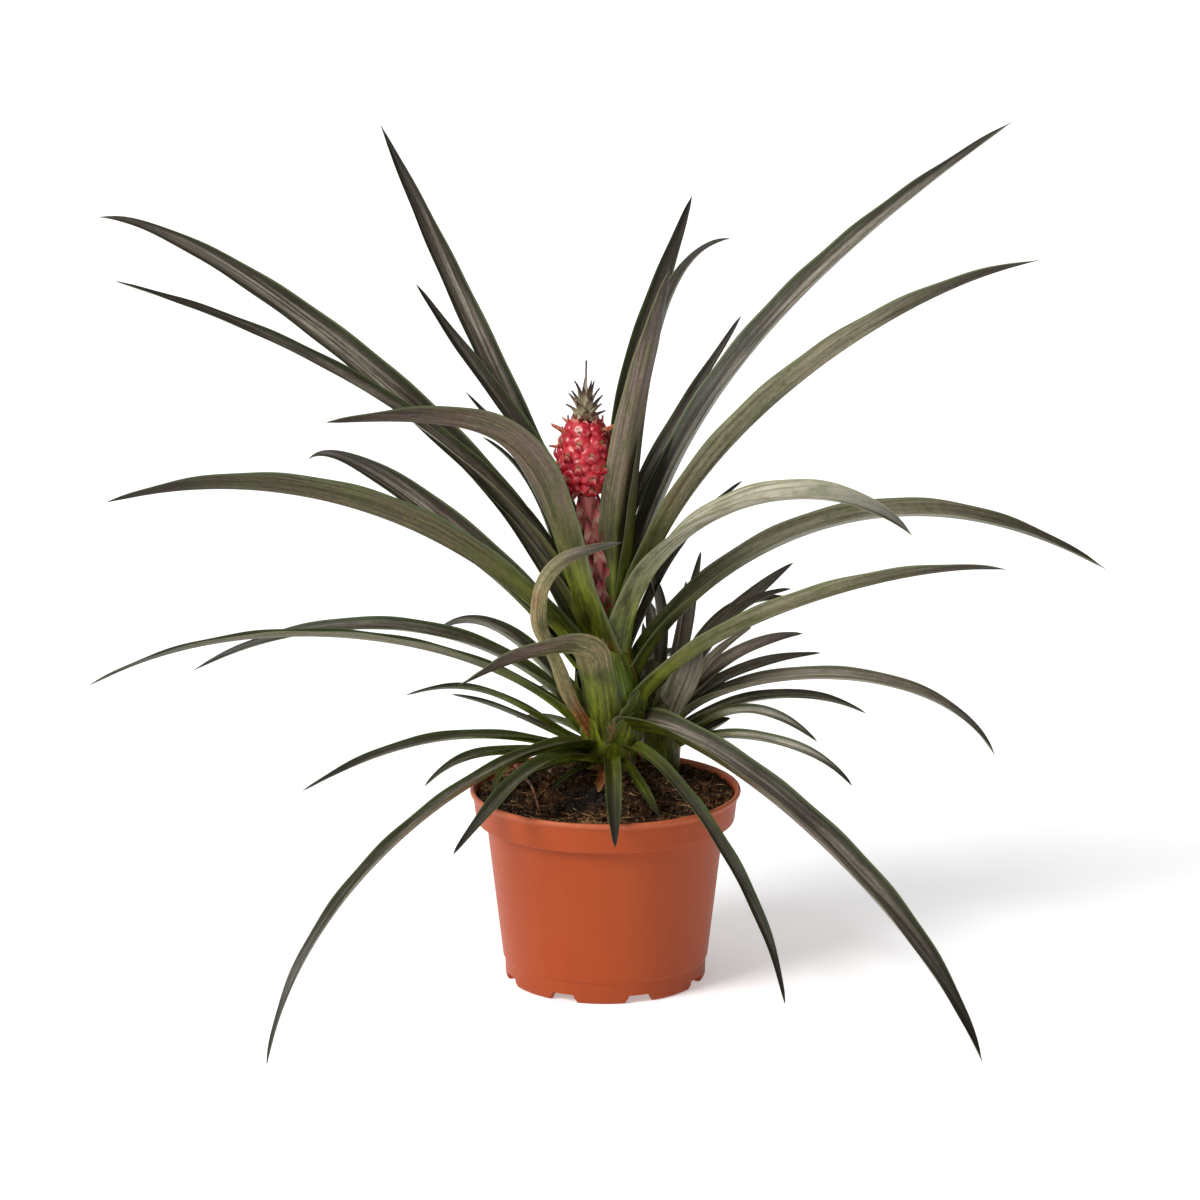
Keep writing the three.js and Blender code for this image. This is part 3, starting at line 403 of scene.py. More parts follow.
# Fleshy leaf bases: yellow-green with fine upright veins, olive-brown shading and rusty dry edges.
sheath, tree = new_material("fleshy_leaf_base")
vein_at = add(tree, "Attribute", attribute_name="blade_grain")[1]
where = add(tree, "SeparateXYZ", [vein_at])
vein, blotch = (
    add(tree, "TexNoise", {
        "Vector": add(tree, "Mapping", {0: vein_at, 3: size})[0], "Scale": 1, "Detail": 4})[0]
    for size in ((1.3, 0.03, 0), (0.22, 0.07, 0)))
colour = add(tree, "ValToRGB", [vein], [(0.3, "#333a0a"), (0.5, "#4d5f14"), (0.7, "#82952c")])[0]
olive, low, blotched, edge = (add(tree, "MapRange", values)[0] for values in (
    [blotch, 0.45, 0.65, 0, 0.7], [where[1], 150, 122], [blotch, 0.42, 0.6], [where[2], 0.93, 0.98, 0, 0.8]))
rusty = add(tree, "Math", [low, blotched], operation="MULTIPLY")[0]
for amount, shade in ((olive, "#3a340c"), (rusty, "#8a4320"), (edge, "#9b6b3a")):
    colour = add(tree, "Mix", {0: amount, 6: colour, 7: linear(shade)}, data_type="RGBA")[2]
ribs = add(tree, "Bump", {"Strength": 0.4, "Distance": 0.0006, "Height": vein})[0]
surface = add(tree, "BsdfPrincipled", {
    "Base Color": colour, "Roughness": 0.42, "IOR": 1.45, "Normal": ribs, "Specular IOR Level": 0.4})
add(tree, "OutputMaterial", [surface[0]])
place(stem_piece, sheath, "stem", "main_stem")

# ---------------------------------------------------------------- leaves
# Forty-five arching sword leaves, each a channelled blade with a rounded rib, thin edges and a drawn-out
# tip, grown from the stem; and two withered leaves that have folded over under their own weight.

ROOT_WIDEST, ROOT_NARROWEST, ROOT_SHOULDER, ROOT_TOP = 7.5, 3, 150, 189
TIP_WIDTH = 1.1
SHEATH_WIDTH, SHEATH_SHARE = 1.3, 0.18
TAPER_FROM, TAPER_POWER = 0.42, 2.6
ROOT_FOLD, TIP_FOLD = 40, 14
RIB_HALF_THICKNESS, EDGE_HALF_THICKNESS, RIB_ROUNDNESS = 0.62, 0.3, 0.03
WAVE_LENGTH, SEED_STEP = 7, 7.3
BLADE_RINGS, BLADE_COLUMNS = 84, 19

# Name: turn, height of the root, slope there, reach and height of the tip, slope there, how far each
# slope is held as a share of the span, sideways swing of the tip, width, roll; then how purple and how
# pale it is, from 0 to 1.
LEAVES = {
    "left_01": (148, 181, 76, 151, 463, 61, 0.21, 0.67, 0, 18, -23, 0.9, 0.6),
    "left_02": (160, 186, 78, 114, 380, 54, 0.5, 0.46, 0, 13, -30, 0.5, 0.24),
    "left_03": (172, 160, 93, 285, 417, -3, 0.24, 0.17, -3, 21, -39, 0.8, 0.6),
    "left_04": (182, 166, 88, 267, 389, 16, 0.28, 0.39, -1, 13, -27, 0.5, 0.3),
    "left_05": (207, 180, 66, 171, 326, -1, 0.52, 0.66, 6, 26, 33, 0.8, 0.35),
    "left_06": (138, 182, 86, 110, 314, 36, 0.4, 0.4, 0, 8, 0, 0.9, 0.06),
    "left_07": (150, 174, 52, 82, 294, 24, 0.4, 0.4, 0, 7, 0, 0.9, 0.06),
    "left_08": (160, 164, 66, 180, 278, -39, 0.12, 0.18, 1, 20, -33, 1, 0.5),
    "left_09": (198, 170, 55, 279, 284, -13, 0.33, 0.38, 0, 24, 38, 0.2, 0.12),
    "left_10": (178, 150, 88, 82, 285, 41, 0.18, 0.3, 0, 10, -28, 0.1, 0.24),
    "left_11": (170, 158, 50, 96, 241, 28, 0.35, 0.4, 0, 8, 0, 0.8, 0.06),
    "left_12": (176, 132, 57, 234, 166, -30, 0.39, 0.37, -1, 13, -22, 0.3, 0.24),
    "left_13": (190, 128, 57, 286, 175, -29, 0.29, 0.35, -1, 12, 5, 0.1, 0.36),
    "left_14": (160, 140, 44, 106, 183, -40, 0.38, 0.42, 0, 16, 0, 0.8, 0.36),
    "left_15": (196, 126, 27, 116, 165, -15, 0.35, 0.45, 0, 9, 0, 0.2, 0.18),
    "left_16": (170, 125, 18, 90, 153, 8, 0.4, 0.4, 0, 7, 0, 0.9, 0.24),
    "left_17": (202, 123, 21, 179, 120, -26, 0.32, 0.46, -2, 10, -12, 0.2, 0.18),
    "left_18": (212, 122, 11, 119, 122, -41, 0.35, 0.35, 0, 12, 0, 0.1, 0.24),
    "right_01": (22, 183, 81, 242, 464, 29, 0.26, 0.57, 0, 22, 8, 0.5, 0.55),
    "right_02": (-16, 178, 85, 233, 409, 11, 0.35, 0.26, 0, 23, -28, 0.15, 0.5),
    "right_03": (40, 187, 92, 95, 359, 48, 0.35, 0.6, 0, 10, 15, 0.6, 0.18),
    "right_04": (62, 188, 89, 137, 417, 43, 0.52, 0.53, 20, 15, 15, 0.5, 0.12),
    "right_05": (-15, 186, 79, 66, 414, 8, 0.23, 0.25, -2, 17, 35, 0.5, 0.3),
    "right_06": (-34, 168, 92, 190, 270, -37, 0.48, 0.33, 0, 25, 18, 0.2, 0.95),
    "right_07": (4, 150, 98, 275, 224, -32, 0.14, 0.66, 0, 22, 15, 0.15, 0.5),
    "right_08": (-26, 130, 93, 230, 251, -1, 0.21, 0.29, 0, 17, -31, 0.05, 0.35),
    "right_09": (45, 168, 60, 105, 262, 20, 0.4, 0.4, 0, 8, 0, 0.8, 0.12),
    "front_01": (-62, 178, 96, 66, 404, 63, 0.3, 0.64, 0, 19, 0, 0.8, 0.5),
    "front_02": (224, 127, 36, 250, 3, -77, 0.18, 0.42, 0, 13, 13, 0.3, 0.3),
    "front_03": (236, 121, 21, 149, 102, -27, 0.47, 0.45, 0, 12, 0, 0.1, 0.14),
    "front_04": (-89, 121, 24, 115, 103, -28, 0.4, 0.4, 0, 10, 0, 0.1, 0.08),
    "front_05": (-71, 121, 12, 80, 109, -12, 0.4, 0.4, 0, 7, 0, 0.0, 0.08),
    "front_06": (-54, 127, 50, 182, 31, -63, 0.14, 0.36, -20, 11, -13, 0.3, 0.12),
    "front_07": (-42, 140, 45, 259, 3, -63, 0.13, 0.39, 2, 24, -5, 0.9, 0.4),
    "front_08": (200, 120, 10, 68, 110, -15, 0.4, 0.4, 0, 6, 0, 0.0, 0.24),
    "front_09": (229, 121, 0, 50, 113, -20, 0.4, 0.4, 0, 5, 0, 0.0, 0.18),
    "front_10": (-99, 121, 0, 44, 113, -15, 0.4, 0.4, 0, 6, 0, 0.0, 0.3),
    "back_01": (95, 150, 62, 146, 150, -40, 0.4, 0.4, 0, 13, 0, 0.4, 0.24),
    "back_02": (75, 135, 45, 150, 130, -30, 0.4, 0.4, 0, 11, 0, 0.3, 0.24),
    "back_03": (118, 130, 40, 95, 140, -10, 0.4, 0.4, 0, 9, 0, 0.2, 0.24),
    "back_04": (58, 145, 50, 120, 150, -25, 0.4, 0.4, 0, 10, 0, 0.5, 0.24),
    "back_05": (82, 176, 78, 70, 290, 50, 0.4, 0.4, 0, 9, 0, 0.7, 0.18),
    "back_06": (132, 124, 25, 80, 128, -15, 0.4, 0.4, 0, 8, 0, 0.1, 0.24),
}

PALE_ON_BOTH_FACES, PALE_UPPER_FACE = ["right_06", "right_07"], 0.2
DRY_LEAF, CREASED_LEAF = "front_10", "front_12"

# Name: turn, width and the points that the rib is drawn through.
FOLDED_LEAVES = {
    "front_11": (245, 11, [
        (-3, 11, 126), (-8, 3, 137), (-20, -3, 158), (-29, -9, 183), (-37, -15, 205),
        (-35, -20, 226), (-23, -28, 243), (-8, -34, 250), (9, -42, 256)]),
    "front_12": (262, 22, [
        (1, 9, 126), (-1, 2, 137), (-3, -4, 156), (-6, -9, 176), (-9, -15, 188),
        (-21, -25, 194), (-40, -37, 194), (-57, -47, 190), (-79, -58, 181)]),
}


def compass(turn):
    """Unit vectors outwards and sideways for a turn in degrees: (cos t, sin t, 0) and (-sin t, cos t, 0)."""
    t = math.radians(turn)
    return np.array([math.cos(t), math.sin(t), 0]), np.array([-math.sin(t), math.cos(t), 0])


def smooth(value, low, high):
    """0 below low, 1 above high, and s^2 (3 - 2s) in between."""
    s = np.clip((value - low) / (high - low), 0, 1)
    return s * s * (3 - 2 * s)


def bent_rib(centre, start, turn, root, rise, reach, tip, fall, start_pull, end_pull, sway=0):
    """The rib's line as a cubic curve through 200 points: (1-t)^3 p0 + 3t(1-t)^2 p1 + 3t^2(1-t) p2 + t^3 p3.
    p1 lies from the root along its slope, and p2 back from the tip along its slope."""
    outward, sideways = compass(turn)
    span = math.hypot(reach - start, tip - root)
    rise, fall = math.radians(rise), math.radians(fall)
    flat = np.array([
        (start, root, 0),
        (start + start_pull * span * math.cos(rise), root + start_pull * span * math.sin(rise), 0),
        (reach - end_pull * span * math.cos(fall), tip - end_pull * span * math.sin(fall), sway / 2),
        (reach, tip, sway)])
    p = np.array([*centre, 0]) + flat[:, :1] * outward + flat[:, 2:] * sideways + flat[:, 1:2] * [0, 0, 1]
    t = np.linspace(0, 1, 200)[:, None]
    return (1 - t) ** 3 * p[0] + 3 * t * (1 - t) ** 2 * p[1] + 3 * t ** 2 * (1 - t) * p[2] + t ** 3 * p[3]


def drawn_rib(points):
    """A smooth line through points: between two of them it is the cubic whose slopes there come from
    their neighbours, with steps in proportion to the square root of the distance."""
    p = np.array(points, float)
    p = np.concatenate([[2 * p[0] - p[1]], p, [2 * p[-1] - p[-2]]])
    gap = np.sqrt(np.linalg.norm(np.diff(p, axis=0), axis=1))[:, None]
    before, here, after = gap[:-2], gap[1:-1], gap[2:]
    steps = np.diff(p, axis=0)
    d0, d1, d2 = steps[:-2] / before, steps[1:-1] / here, steps[2:] / after
    m1 = (d0 - (p[2:-1] - p[:-3]) / (before + here) + d1) * here
    m2 = (d1 - (p[3:] - p[1:-2]) / (here + after) + d2) * here
    a, b = p[1:-2], p[2:-1]
    t = np.linspace(0, 1, 30, endpoint=False)[None, :, None]
    a, b, m1, m2 = (v[:, None] for v in (a, b, m1, m2))
    line = (2 * t ** 3 - 3 * t ** 2 + 1) * a + (t ** 3 - 2 * t ** 2 + t) * m1
    line = line + (3 * t ** 2 - 2 * t ** 3) * b + (t ** 3 - t ** 2) * m2
    return np.concatenate([line.reshape(-1, 3), p[-2:-1]])


def evenly(line, count):
    """Points at equal distances along a line, and its length."""
    travelled = np.concatenate([[0], np.cumsum(np.linalg.norm(np.diff(line, axis=0), axis=1))])
    wanted = np.linspace(0, travelled[-1], count)
    return np.stack([np.interp(wanted, travelled, line[:, i]) for i in range(3)], 1), travelled[-1]


def strap(line, side, half, fold, roll=0, thin=1, deep=1, wave=0, seed=0, tint=(0, 0, 0),
          columns=BLADE_COLUMNS, sections=BLADE_RINGS):
    """Rings round a channelled blade, and their attributes. At u from -1 to 1 across it, the section is
    reach = half cos(fold) u and lift = deep half sin(fold) (v(u) - 1/2), where v is a V with a rounded
    rib, plus and minus half the thickness, which shrinks to nothing at the edges."""
    line, length = evenly(line, sections)
    share = np.linspace(0, 1, sections)
    tangents = np.gradient(line, axis=0)
    tangents = tangents / np.linalg.norm(tangents, axis=1, keepdims=True)
    sides = np.empty_like(line)
    for i, tangent in enumerate(tangents):
        side = side - tangent * (side @ tangent)
        side = side / np.linalg.norm(side)
        sides[i] = side
    ups = np.cross(tangents, sides)
    roll = (roll + 0 * share)[:, None]
    across = sides * np.cos(roll) + ups * np.sin(roll)
    upper = ups * np.cos(roll) - sides * np.sin(roll)

    u = np.sin(np.linspace(-np.pi / 2, np.pi / 2, columns))
    v = np.sqrt(u ** 2 + RIB_ROUNDNESS) - math.sqrt(RIB_ROUNDNESS)
    v = v / (math.sqrt(1 + RIB_ROUNDNESS) - math.sqrt(RIB_ROUNDNESS))
    half, fold, thin, deep = ((value + 0 * share)[:, None] for value in (half, fold, thin, deep))
    reach = half * np.cos(fold) * u
    phase = seed * 2.4 + np.sign(u) * 0.8
    waves = wave * u ** 2 * np.sin(share[:, None] * length / WAVE_LENGTH + phase)
    lift = deep * half * np.sin(fold) * (v - 0.5) + waves
    half_thickness = RIB_HALF_THICKNESS + (EDGE_HALF_THICKNESS - RIB_HALF_THICKNESS) * np.abs(u)
    half_thickness = thin * half_thickness * np.sqrt(1 - 0.96 * np.abs(u) ** 12)
    reach = np.concatenate([reach, reach[:, ::-1]], axis=1)
    lift = np.concatenate([lift + half_thickness, (lift - half_thickness)[:, ::-1]], axis=1)
    rings = line[:, None] + across[:, None] * reach[..., None] + upper[:, None] * lift[..., None]

    loop = np.concatenate([u, u[::-1]]) + 0 * share[:, None]
    top = np.concatenate([np.ones(columns), np.zeros(columns)]) + 0 * share[:, None]
    down = share[:, None] + 0 * loop
    return rings, {
        "blade_place": np.stack([loop, down, top], -1),
        "blade_grain": np.stack([loop * half, down * length, 0 * loop + seed * SEED_STEP], -1),
        "blade_tint": np.stack([0 * loop + value for value in tint], -1),
    }


def leaf(line, turn, width, roll=0, **more):
    """A sword leaf: full width along its inner half, then an even taper to its drawn-out tip."""
    share = np.linspace(0, 1, BLADE_RINGS)
    base = SHEATH_WIDTH + (1 - SHEATH_WIDTH) * smooth(share, 0, SHEATH_SHARE)
    taper = 1 - np.clip((share - TAPER_FROM) / (1 - TAPER_FROM), 0, 1) ** TAPER_POWER
    point = np.sqrt(np.clip((1.001 - share) / 0.03, 0, 1))
    half = (TIP_WIDTH + (width - TIP_WIDTH) * base * taper) / 2 * point
    fold = np.radians(ROOT_FOLD + (TIP_FOLD - ROOT_FOLD) * np.sqrt(share))
    roll = np.radians(roll) * smooth(share, 0.04, 0.5)
    return strap(line, compass(turn)[1], half, fold, roll, (1 - 0.25 * share) * point, 1.2 + share, **more)


def grown(name, blades, centre, material, slot, *nodes):
    """One piece whose skins are several blades, made round a centre."""
    rings = np.stack([rings for rings, places in blades])
    places = {key: np.stack([places[key] for rings, places in blades]) for key in blades[0][1]}
    return place(skin(name, rings + centre, **places), material, slot, *nodes)


def root_radius(height):
    """The upper leaves start nearer the stem's middle: widest + (narrowest - widest) s^1.5."""
    s = min(max((height - ROOT_SHOULDER) / (ROOT_TOP - ROOT_SHOULDER), 0), 1)
    return ROOT_WIDEST + (ROOT_NARROWEST - ROOT_WIDEST) * s ** 1.5


# Living leaves: a waxy skin over fine parallel veins. The upper face is nearly black, olive to purple brown,
# with a painted silver highlight in the channel; the underside is silvery; the base is yellow-green.
waxy, tree = new_material("waxy_pineapple_leaf")
where, tint = (add(tree, "SeparateXYZ", [add(tree, "Attribute", attribute_name=name)[1]])
               for name in ("blade_place", "blade_tint"))
across, share, on_top = where[0], where[1], where[2]
purple, pale, dry = tint[0], tint[1], tint[2]
grain_at = add(tree, "Attribute", attribute_name="blade_grain")[1]
along_mm = add(tree, "SeparateXYZ", [grain_at])[1]
from_rib = add(tree, "Math", [across], operation="ABSOLUTE")[0]

# Veins run the length of the blade, drawn 0.7 mm apart so that they show, with coarser bands 2 mm apart,
# long cloudy patches, and flecks of about a millimetre.
vein, band, cloud, fleck = (
    add(tree, "TexNoise", {"Vector": add(tree, "Mapping", {0: grain_at, 3: size})[0],
                           "Scale": 1, "Detail": detail, "Roughness": roughness})[0]
    for size, detail, roughness in (((1.4, 0.015, 1), 4, 0.7), ((0.55, 0.012, 1), 3, 0.5),
                                    ((0.12, 0.035, 1), 5, 0.65), ((0.9, 0.3, 1), 4, 0.7)))

# Each of these runs between two amounts while its pattern runs between two values.
painted_silver_highlight, palest, green, dark_line, fine, mealy = (add(tree, "MapRange", values)[0] for values in (
    [band, 0.4, 0.6, 0.12, 0.8], [pale, 0.6, 1], [cloud, 0.5, 0.36, 0, 0.55], [band, 0.48, 0.62, 0, 0.6],
    [vein, 0.34, 0.66, 0.5, 1.5], [fleck, 0.3, 0.7, 0.72, 1.28]))
not_pale, in_middle, outer, on_edge, shine = (add(tree, "MapRange", values)[0] for values in (
    [pale, 0, 1, 1, 0.3], [from_rib, 0, 0.9, 1.3, 0.75], [from_rib, 0.25, 0.8, 0.15, 1],
    [from_rib, 0.86, 0.97, 0, 0.75], [cloud, 0.3, 0.7, 0.3, 0.46]))

# Zones with a ragged border: a pattern times a weight is added to the place on the blade, and the zone
# fades in as the sum runs between two values. Purple upper faces are green on a shorter stretch.
purple_top = add(tree, "Math", [purple, 0.35], operation="ADD")[0]
purple_top = add(tree, "Math", [purple_top, on_top], operation="MULTIPLY")[0]
from_foot = add(tree, "Math", [purple_top, 75, along_mm], operation="MULTIPLY_ADD")[0]
on_margin, greener, near_base, stain, torn, near_tip = (
    add(tree, "MapRange", [add(tree, "Math", [pattern, weight, spot], operation="MULTIPLY_ADD")[0], *span],
        interpolation_type=step)[0]
    for step, pattern, weight, spot, span in (
        ("SMOOTHSTEP", cloud, 0.7, from_rib, (0.85, 1.25)),
        ("SMOOTHSTEP", cloud, 120, from_foot, (240, 110, 0, 0.5)),
        ("SMOOTHSTEP", cloud, 70, from_foot, (150, 62, 0, 0.94)),
        ("LINEAR", fleck, 0.5, cloud, (0.82, 0.98, 0, 0.6)),
        ("LINEAR", fleck, -90, along_mm, (-32, -52, 0, 0.65)),
        ("LINEAR", cloud, 0.3, share, (0.78, 1.1, 0, 0.85))))

# Green leaves and purple-brown ones: the middle and margin of the upper face, and the underside of a dark
# and of a pale leaf.
middle, margin, dark_under, pale_under = (
    add(tree, "Mix", {0: purple, 6: linear(green_leaf), 7: linear(brown_leaf)}, data_type="RGBA")[2]
    for green_leaf, brown_leaf in (
        ("#222414", "#2c1d16"), ("#35431f", "#343624"), ("#45431f", "#4a3028"), ("#aaa58c", "#9c867c")))
# The silver in the channel of the upper face is a painted highlight, in bands and clouds, strongest on pale
# leaves.
channel = add(tree, "MapRange", [from_rib, 0.85, 0.35], interpolation_type="SMOOTHSTEP")[0]
pale_cloud = add(tree, "Math", [pale, cloud], operation="MULTIPLY")[0]
for amount in (channel, pale_cloud):
    painted_silver_highlight = add(tree, "Math", [painted_silver_highlight, amount], operation="MULTIPLY")[0]
painted_silver_highlight = add(tree, "Math", [painted_silver_highlight, 3.4], operation="MULTIPLY", use_clamp=True)[0]
highlight_silver = add(tree, "Mix", {0: palest, 6: linear("#a49b8a"), 7: linear("#d2ccba")}, data_type="RGBA")[2]
top = middle
for amount, layer in ((on_margin, margin), (painted_silver_highlight, highlight_silver)):
    top = add(tree, "Mix", {0: amount, 6: top, 7: layer}, data_type="RGBA")[2]
pale_under = add(tree, "Mix", {0: palest, 6: pale_under, 7: linear("#cdc9b2")}, data_type="RGBA")[2]
under = dark_under
for amount, layer in ((pale, pale_under), (green, linear("#565e2e")), (dark_line, linear("#45401f")),
                      (stain, linear("#7a5c34"))):
    under = add(tree, "Mix", {0: amount, 6: under, 7: layer}, data_type="RGBA")[2]

# Both faces are greener towards the foot and finely lined, least so on the palest leaves.
greener = add(tree, "Math", [greener, not_pale], operation="MULTIPLY")[0]
colour = under
for amount, layer in ((on_top, top), (greener, linear("#484b1e"))):
    colour = add(tree, "Mix", {0: amount, 6: colour, 7: layer}, data_type="RGBA")[2]
fine = add(tree, "Math", [fine, mealy], operation="MULTIPLY")[0]
even = add(tree, "Math", [palest, 0.65], operation="MULTIPLY")[0]
fine = add(tree, "Mix", {0: even, 2: fine, 3: 1.0}, data_type="FLOAT")[0]
colour = add(tree, "VectorMath", {0: colour, 3: fine}, operation="SCALE")[0]

# The fleshy base is yellow-green, brightest along its middle, and the edge is a thin pale line. Withered
# parts are olive-tan, clouded with brown, and rusty where they are torn at the foot.
banded = add(tree, "Math", [band, 0.5, -0.35], operation="MULTIPLY_ADD")[0]
fleshy = add(tree, "Math", [cloud, 1.2, banded], operation="MULTIPLY_ADD")[0]
flesh = add(tree, "ValToRGB", [fleshy], [
    (0.28, "#262604"), (0.47, "#4f570b"), (0.63, "#75821c"), (0.8, "#a9ab46")])[0]
flesh = add(tree, "VectorMath", {0: flesh, 3: in_middle}, operation="SCALE")[0]
torn = add(tree, "Math", [torn, outer], operation="MULTIPLY")[0]
edge_colour = add(tree, "Mix", {0: pale, 6: linear("#4a5a36"), 7: linear("#8f8f68")}, data_type="RGBA")[2]
clouded = add(tree, "Math", [fleck, 0.4, cloud], operation="MULTIPLY_ADD")[0]
parched = add(tree, "ValToRGB", [clouded], [
    (0.5, "#6a6840"), (0.66, "#857d58"), (0.76, "#94835c"), (0.88, "#6b4a2a")])[0]
rust = add(tree, "ValToRGB", [fleck], [(0.35, "#5c2c14"), (0.55, "#8c4a22"), (0.7, "#a8794a")])[0]
foot = add(tree, "MapRange", [along_mm, 44, 26], interpolation_type="SMOOTHSTEP")[0]
parched = add(tree, "Mix", {0: foot, 6: parched, 7: rust}, data_type="RGBA")[2]
parched = add(tree, "VectorMath", {0: parched, 3: fine}, operation="SCALE")[0]
for amount, layer in ((near_base, flesh), (torn, linear("#6b3516")), (near_tip, linear("#221c18")),
                      (on_edge, edge_colour), (dry, parched)):
    colour = add(tree, "Mix", {0: amount, 6: colour, 7: layer}, data_type="RGBA")[2]

shine = add(tree, "Math", [dry, 0.35, shine], operation="MULTIPLY_ADD")[0]
ribbed = add(tree, "Math", [band, 0.8, vein], operation="MULTIPLY_ADD")[0]
ribs = add(tree, "Bump", {"Strength": 0.6, "Distance": 0.0006, "Height": ribbed})[0]
surface = add(tree, "BsdfPrincipled", {
    "Base Color": colour, "Roughness": shine, "IOR": 1.45, "Normal": ribs, "Specular IOR Level": 0.3})
add(tree, "OutputMaterial", [surface[0]])

stem_axis = (STEM_X, STEM_Y)
for number, (name, values) in enumerate(LEAVES.items()):
    turn, root, *bend, width, roll, purple, pale = values
    rib = bent_rib(stem_axis, root_radius(root), turn, root, *bend)
    dry = 1.0 if name == DRY_LEAF else 0.0
    blade = leaf(rib, turn, width, roll, wave=0.3, seed=number, tint=(purple, pale, dry))
    if name in PALE_ON_BOTH_FACES:
        blade[1]["blade_place"][..., 2] *= PALE_UPPER_FACE
    grown("blade_" + name, [blade], 0, waxy, "leaf", "leaf_" + name)

# The creased leaf is dry round its fold and purple beyond it, and the other is dry along its inner part.
for number, (name, (turn, width, points)) in enumerate(FOLDED_LEAVES.items()):
    blade = leaf(drawn_rib(points), turn, width, wave=0.8, seed=60 + number, tint=(0.5, 0.6, 0))
    share, tint = blade[1]["blade_place"][..., 1], blade[1]["blade_tint"]
    if name == CREASED_LEAF:
        tint[..., 2] = smooth(share, 0.33, 0.4) * (1 - smooth(share, 0.5, 0.57))
        tint[..., 0] = smooth(share, 0.44, 0.52)
    else:
        tint[..., 2] = 0.9 * (1 - smooth(share, 0.6, 0.9))
    grown("blade_" + name, [blade], 0, waxy, "withered_leaf", "leaf_" + name)

# A thin yellow-green leaf has curled down on the soil at the left.
curl = drawn_rib([(-32, 6, 114), (-44, 3, 122), (-53, -2, 121), (-60, -9, 114), (-62, -16, 107)])
grown("curled_blade", [leaf(curl, 185, 4.5, wave=0.4, seed=70, tint=(0, 0.3, 0))], 0, waxy, "leaf")

# Broad leaf bases clasp the stem, each wrapped half round it and torn and rusty along its lower edges:
# turn, half of the angle that it wraps, height of foot and point, and how far the point stands off.
CLASP_RINGS, CLASP_HALF_THICKNESS = 48, 0.45
STEM_CLASPS = [
    (75, 85, 112, 172, 2.0), (125, 80, 112, 168, 2.5), (15, 80, 112, 170, 2.5), (172, 80, 112, 172, 3.0),
    (-150, 75, 111, 160, 2.5), (-25, 75, 111, 166, 2.5), (-122, 52, 109, 148, 1.5), (-48, 60, 109, 152, 2.0),
    (-86, 50, 109, 134, 1.0)]


def clasp(centre, girth, turn, spread, foot, top, flare, lift, seed, tint, aged):
    """Rings up a leaf base and their attributes. At s up it and u across it the angle is
    turn + spread u (1 - s^3)^0.7, and the radius is the girth at that height plus lift plus flare s^2.
    Its lower edges are dry. It has the colours of a leaf further from the foot by aged."""
    s = np.linspace(0, 0.999, CLASP_RINGS)[:, None]
    u = np.sin(np.linspace(-np.pi / 2, np.pi / 2, BLADE_COLUMNS))
    loop = np.concatenate([u, u[::-1]])
    face = np.concatenate([np.ones(BLADE_COLUMNS), -np.ones(BLADE_COLUMNS)])
    ragged = 1 + 0.05 * np.sin(23 * s + seed) + 0.04 * np.sin(61 * s + 2 * seed)
    angle = np.radians(turn + spread * ragged * loop * (1 - s ** 3) ** 0.7)
    height = foot + (top - foot) * s + 0 * loop
    radius = np.interp(height, [h for r, h in girth], [r for r, h in girth]) + lift + flare * s ** 2
    thickness = np.sqrt(1 - 0.96 * np.abs(loop) ** 8) * (1 - 0.5 * s)
    radius = radius + face * CLASP_HALF_THICKNESS * thickness
    rings = np.stack([centre[0] + radius * np.cos(angle), centre[1] + radius * np.sin(angle), height], -1)
    torn = smooth(np.abs(loop) + 0.1 * np.sin(17 * s + seed), 0.78, 0.98) * (1 - smooth(s, 0.45, 0.85))
    across, along, none = loop * math.radians(spread) * radius, (top - foot) * s + aged, 0 * height
    return rings, {
        "blade_place": np.stack([loop + none, 0.6 * s + none, none], -1),
        "blade_grain": np.stack([across, along + none, none + seed * SEED_STEP], -1),
        "blade_tint": np.stack([none + tint[0], none + tint[1], torn], -1),
    }


clasps = [clasp(stem_axis, STEM_GIRTH, *shape, lift=1 + 0.45 * number, seed=120 + number,
                tint=(0, 0.3), aged=-4) for number, shape in enumerate(STEM_CLASPS)]
grown("stem_clasping_bases", clasps, 0, waxy, "stem")

# ---------------------------------------------------------------- offshoot
# A young side shoot at the right: a short core with all its narrow leaves grown together at the foot.

OFFSHOOT_AXIS = (31, 38)
OFFSHOOT_GIRTH = [(7, 92), (7.5, 120), (8.5, 150), (7, 180)]
OFFSHOOT_CLASPS = [
    (60, 80, 108, 160, 5), (130, 80, 108, 168, 4), (-20, 80, 108, 172, 9), (175, 80, 106, 165, 5),
    (-110, 85, 106, 175, 5), (-55, 75, 105, 168, 9), (-85, 60, 104, 150, 5)]
OFFSHOOT_CORE = [(0, 92), (7, 92), (7, 128), (4.2, 140), (0, 146)]
OFFSHOOT_ROOT_RADIUS = 2
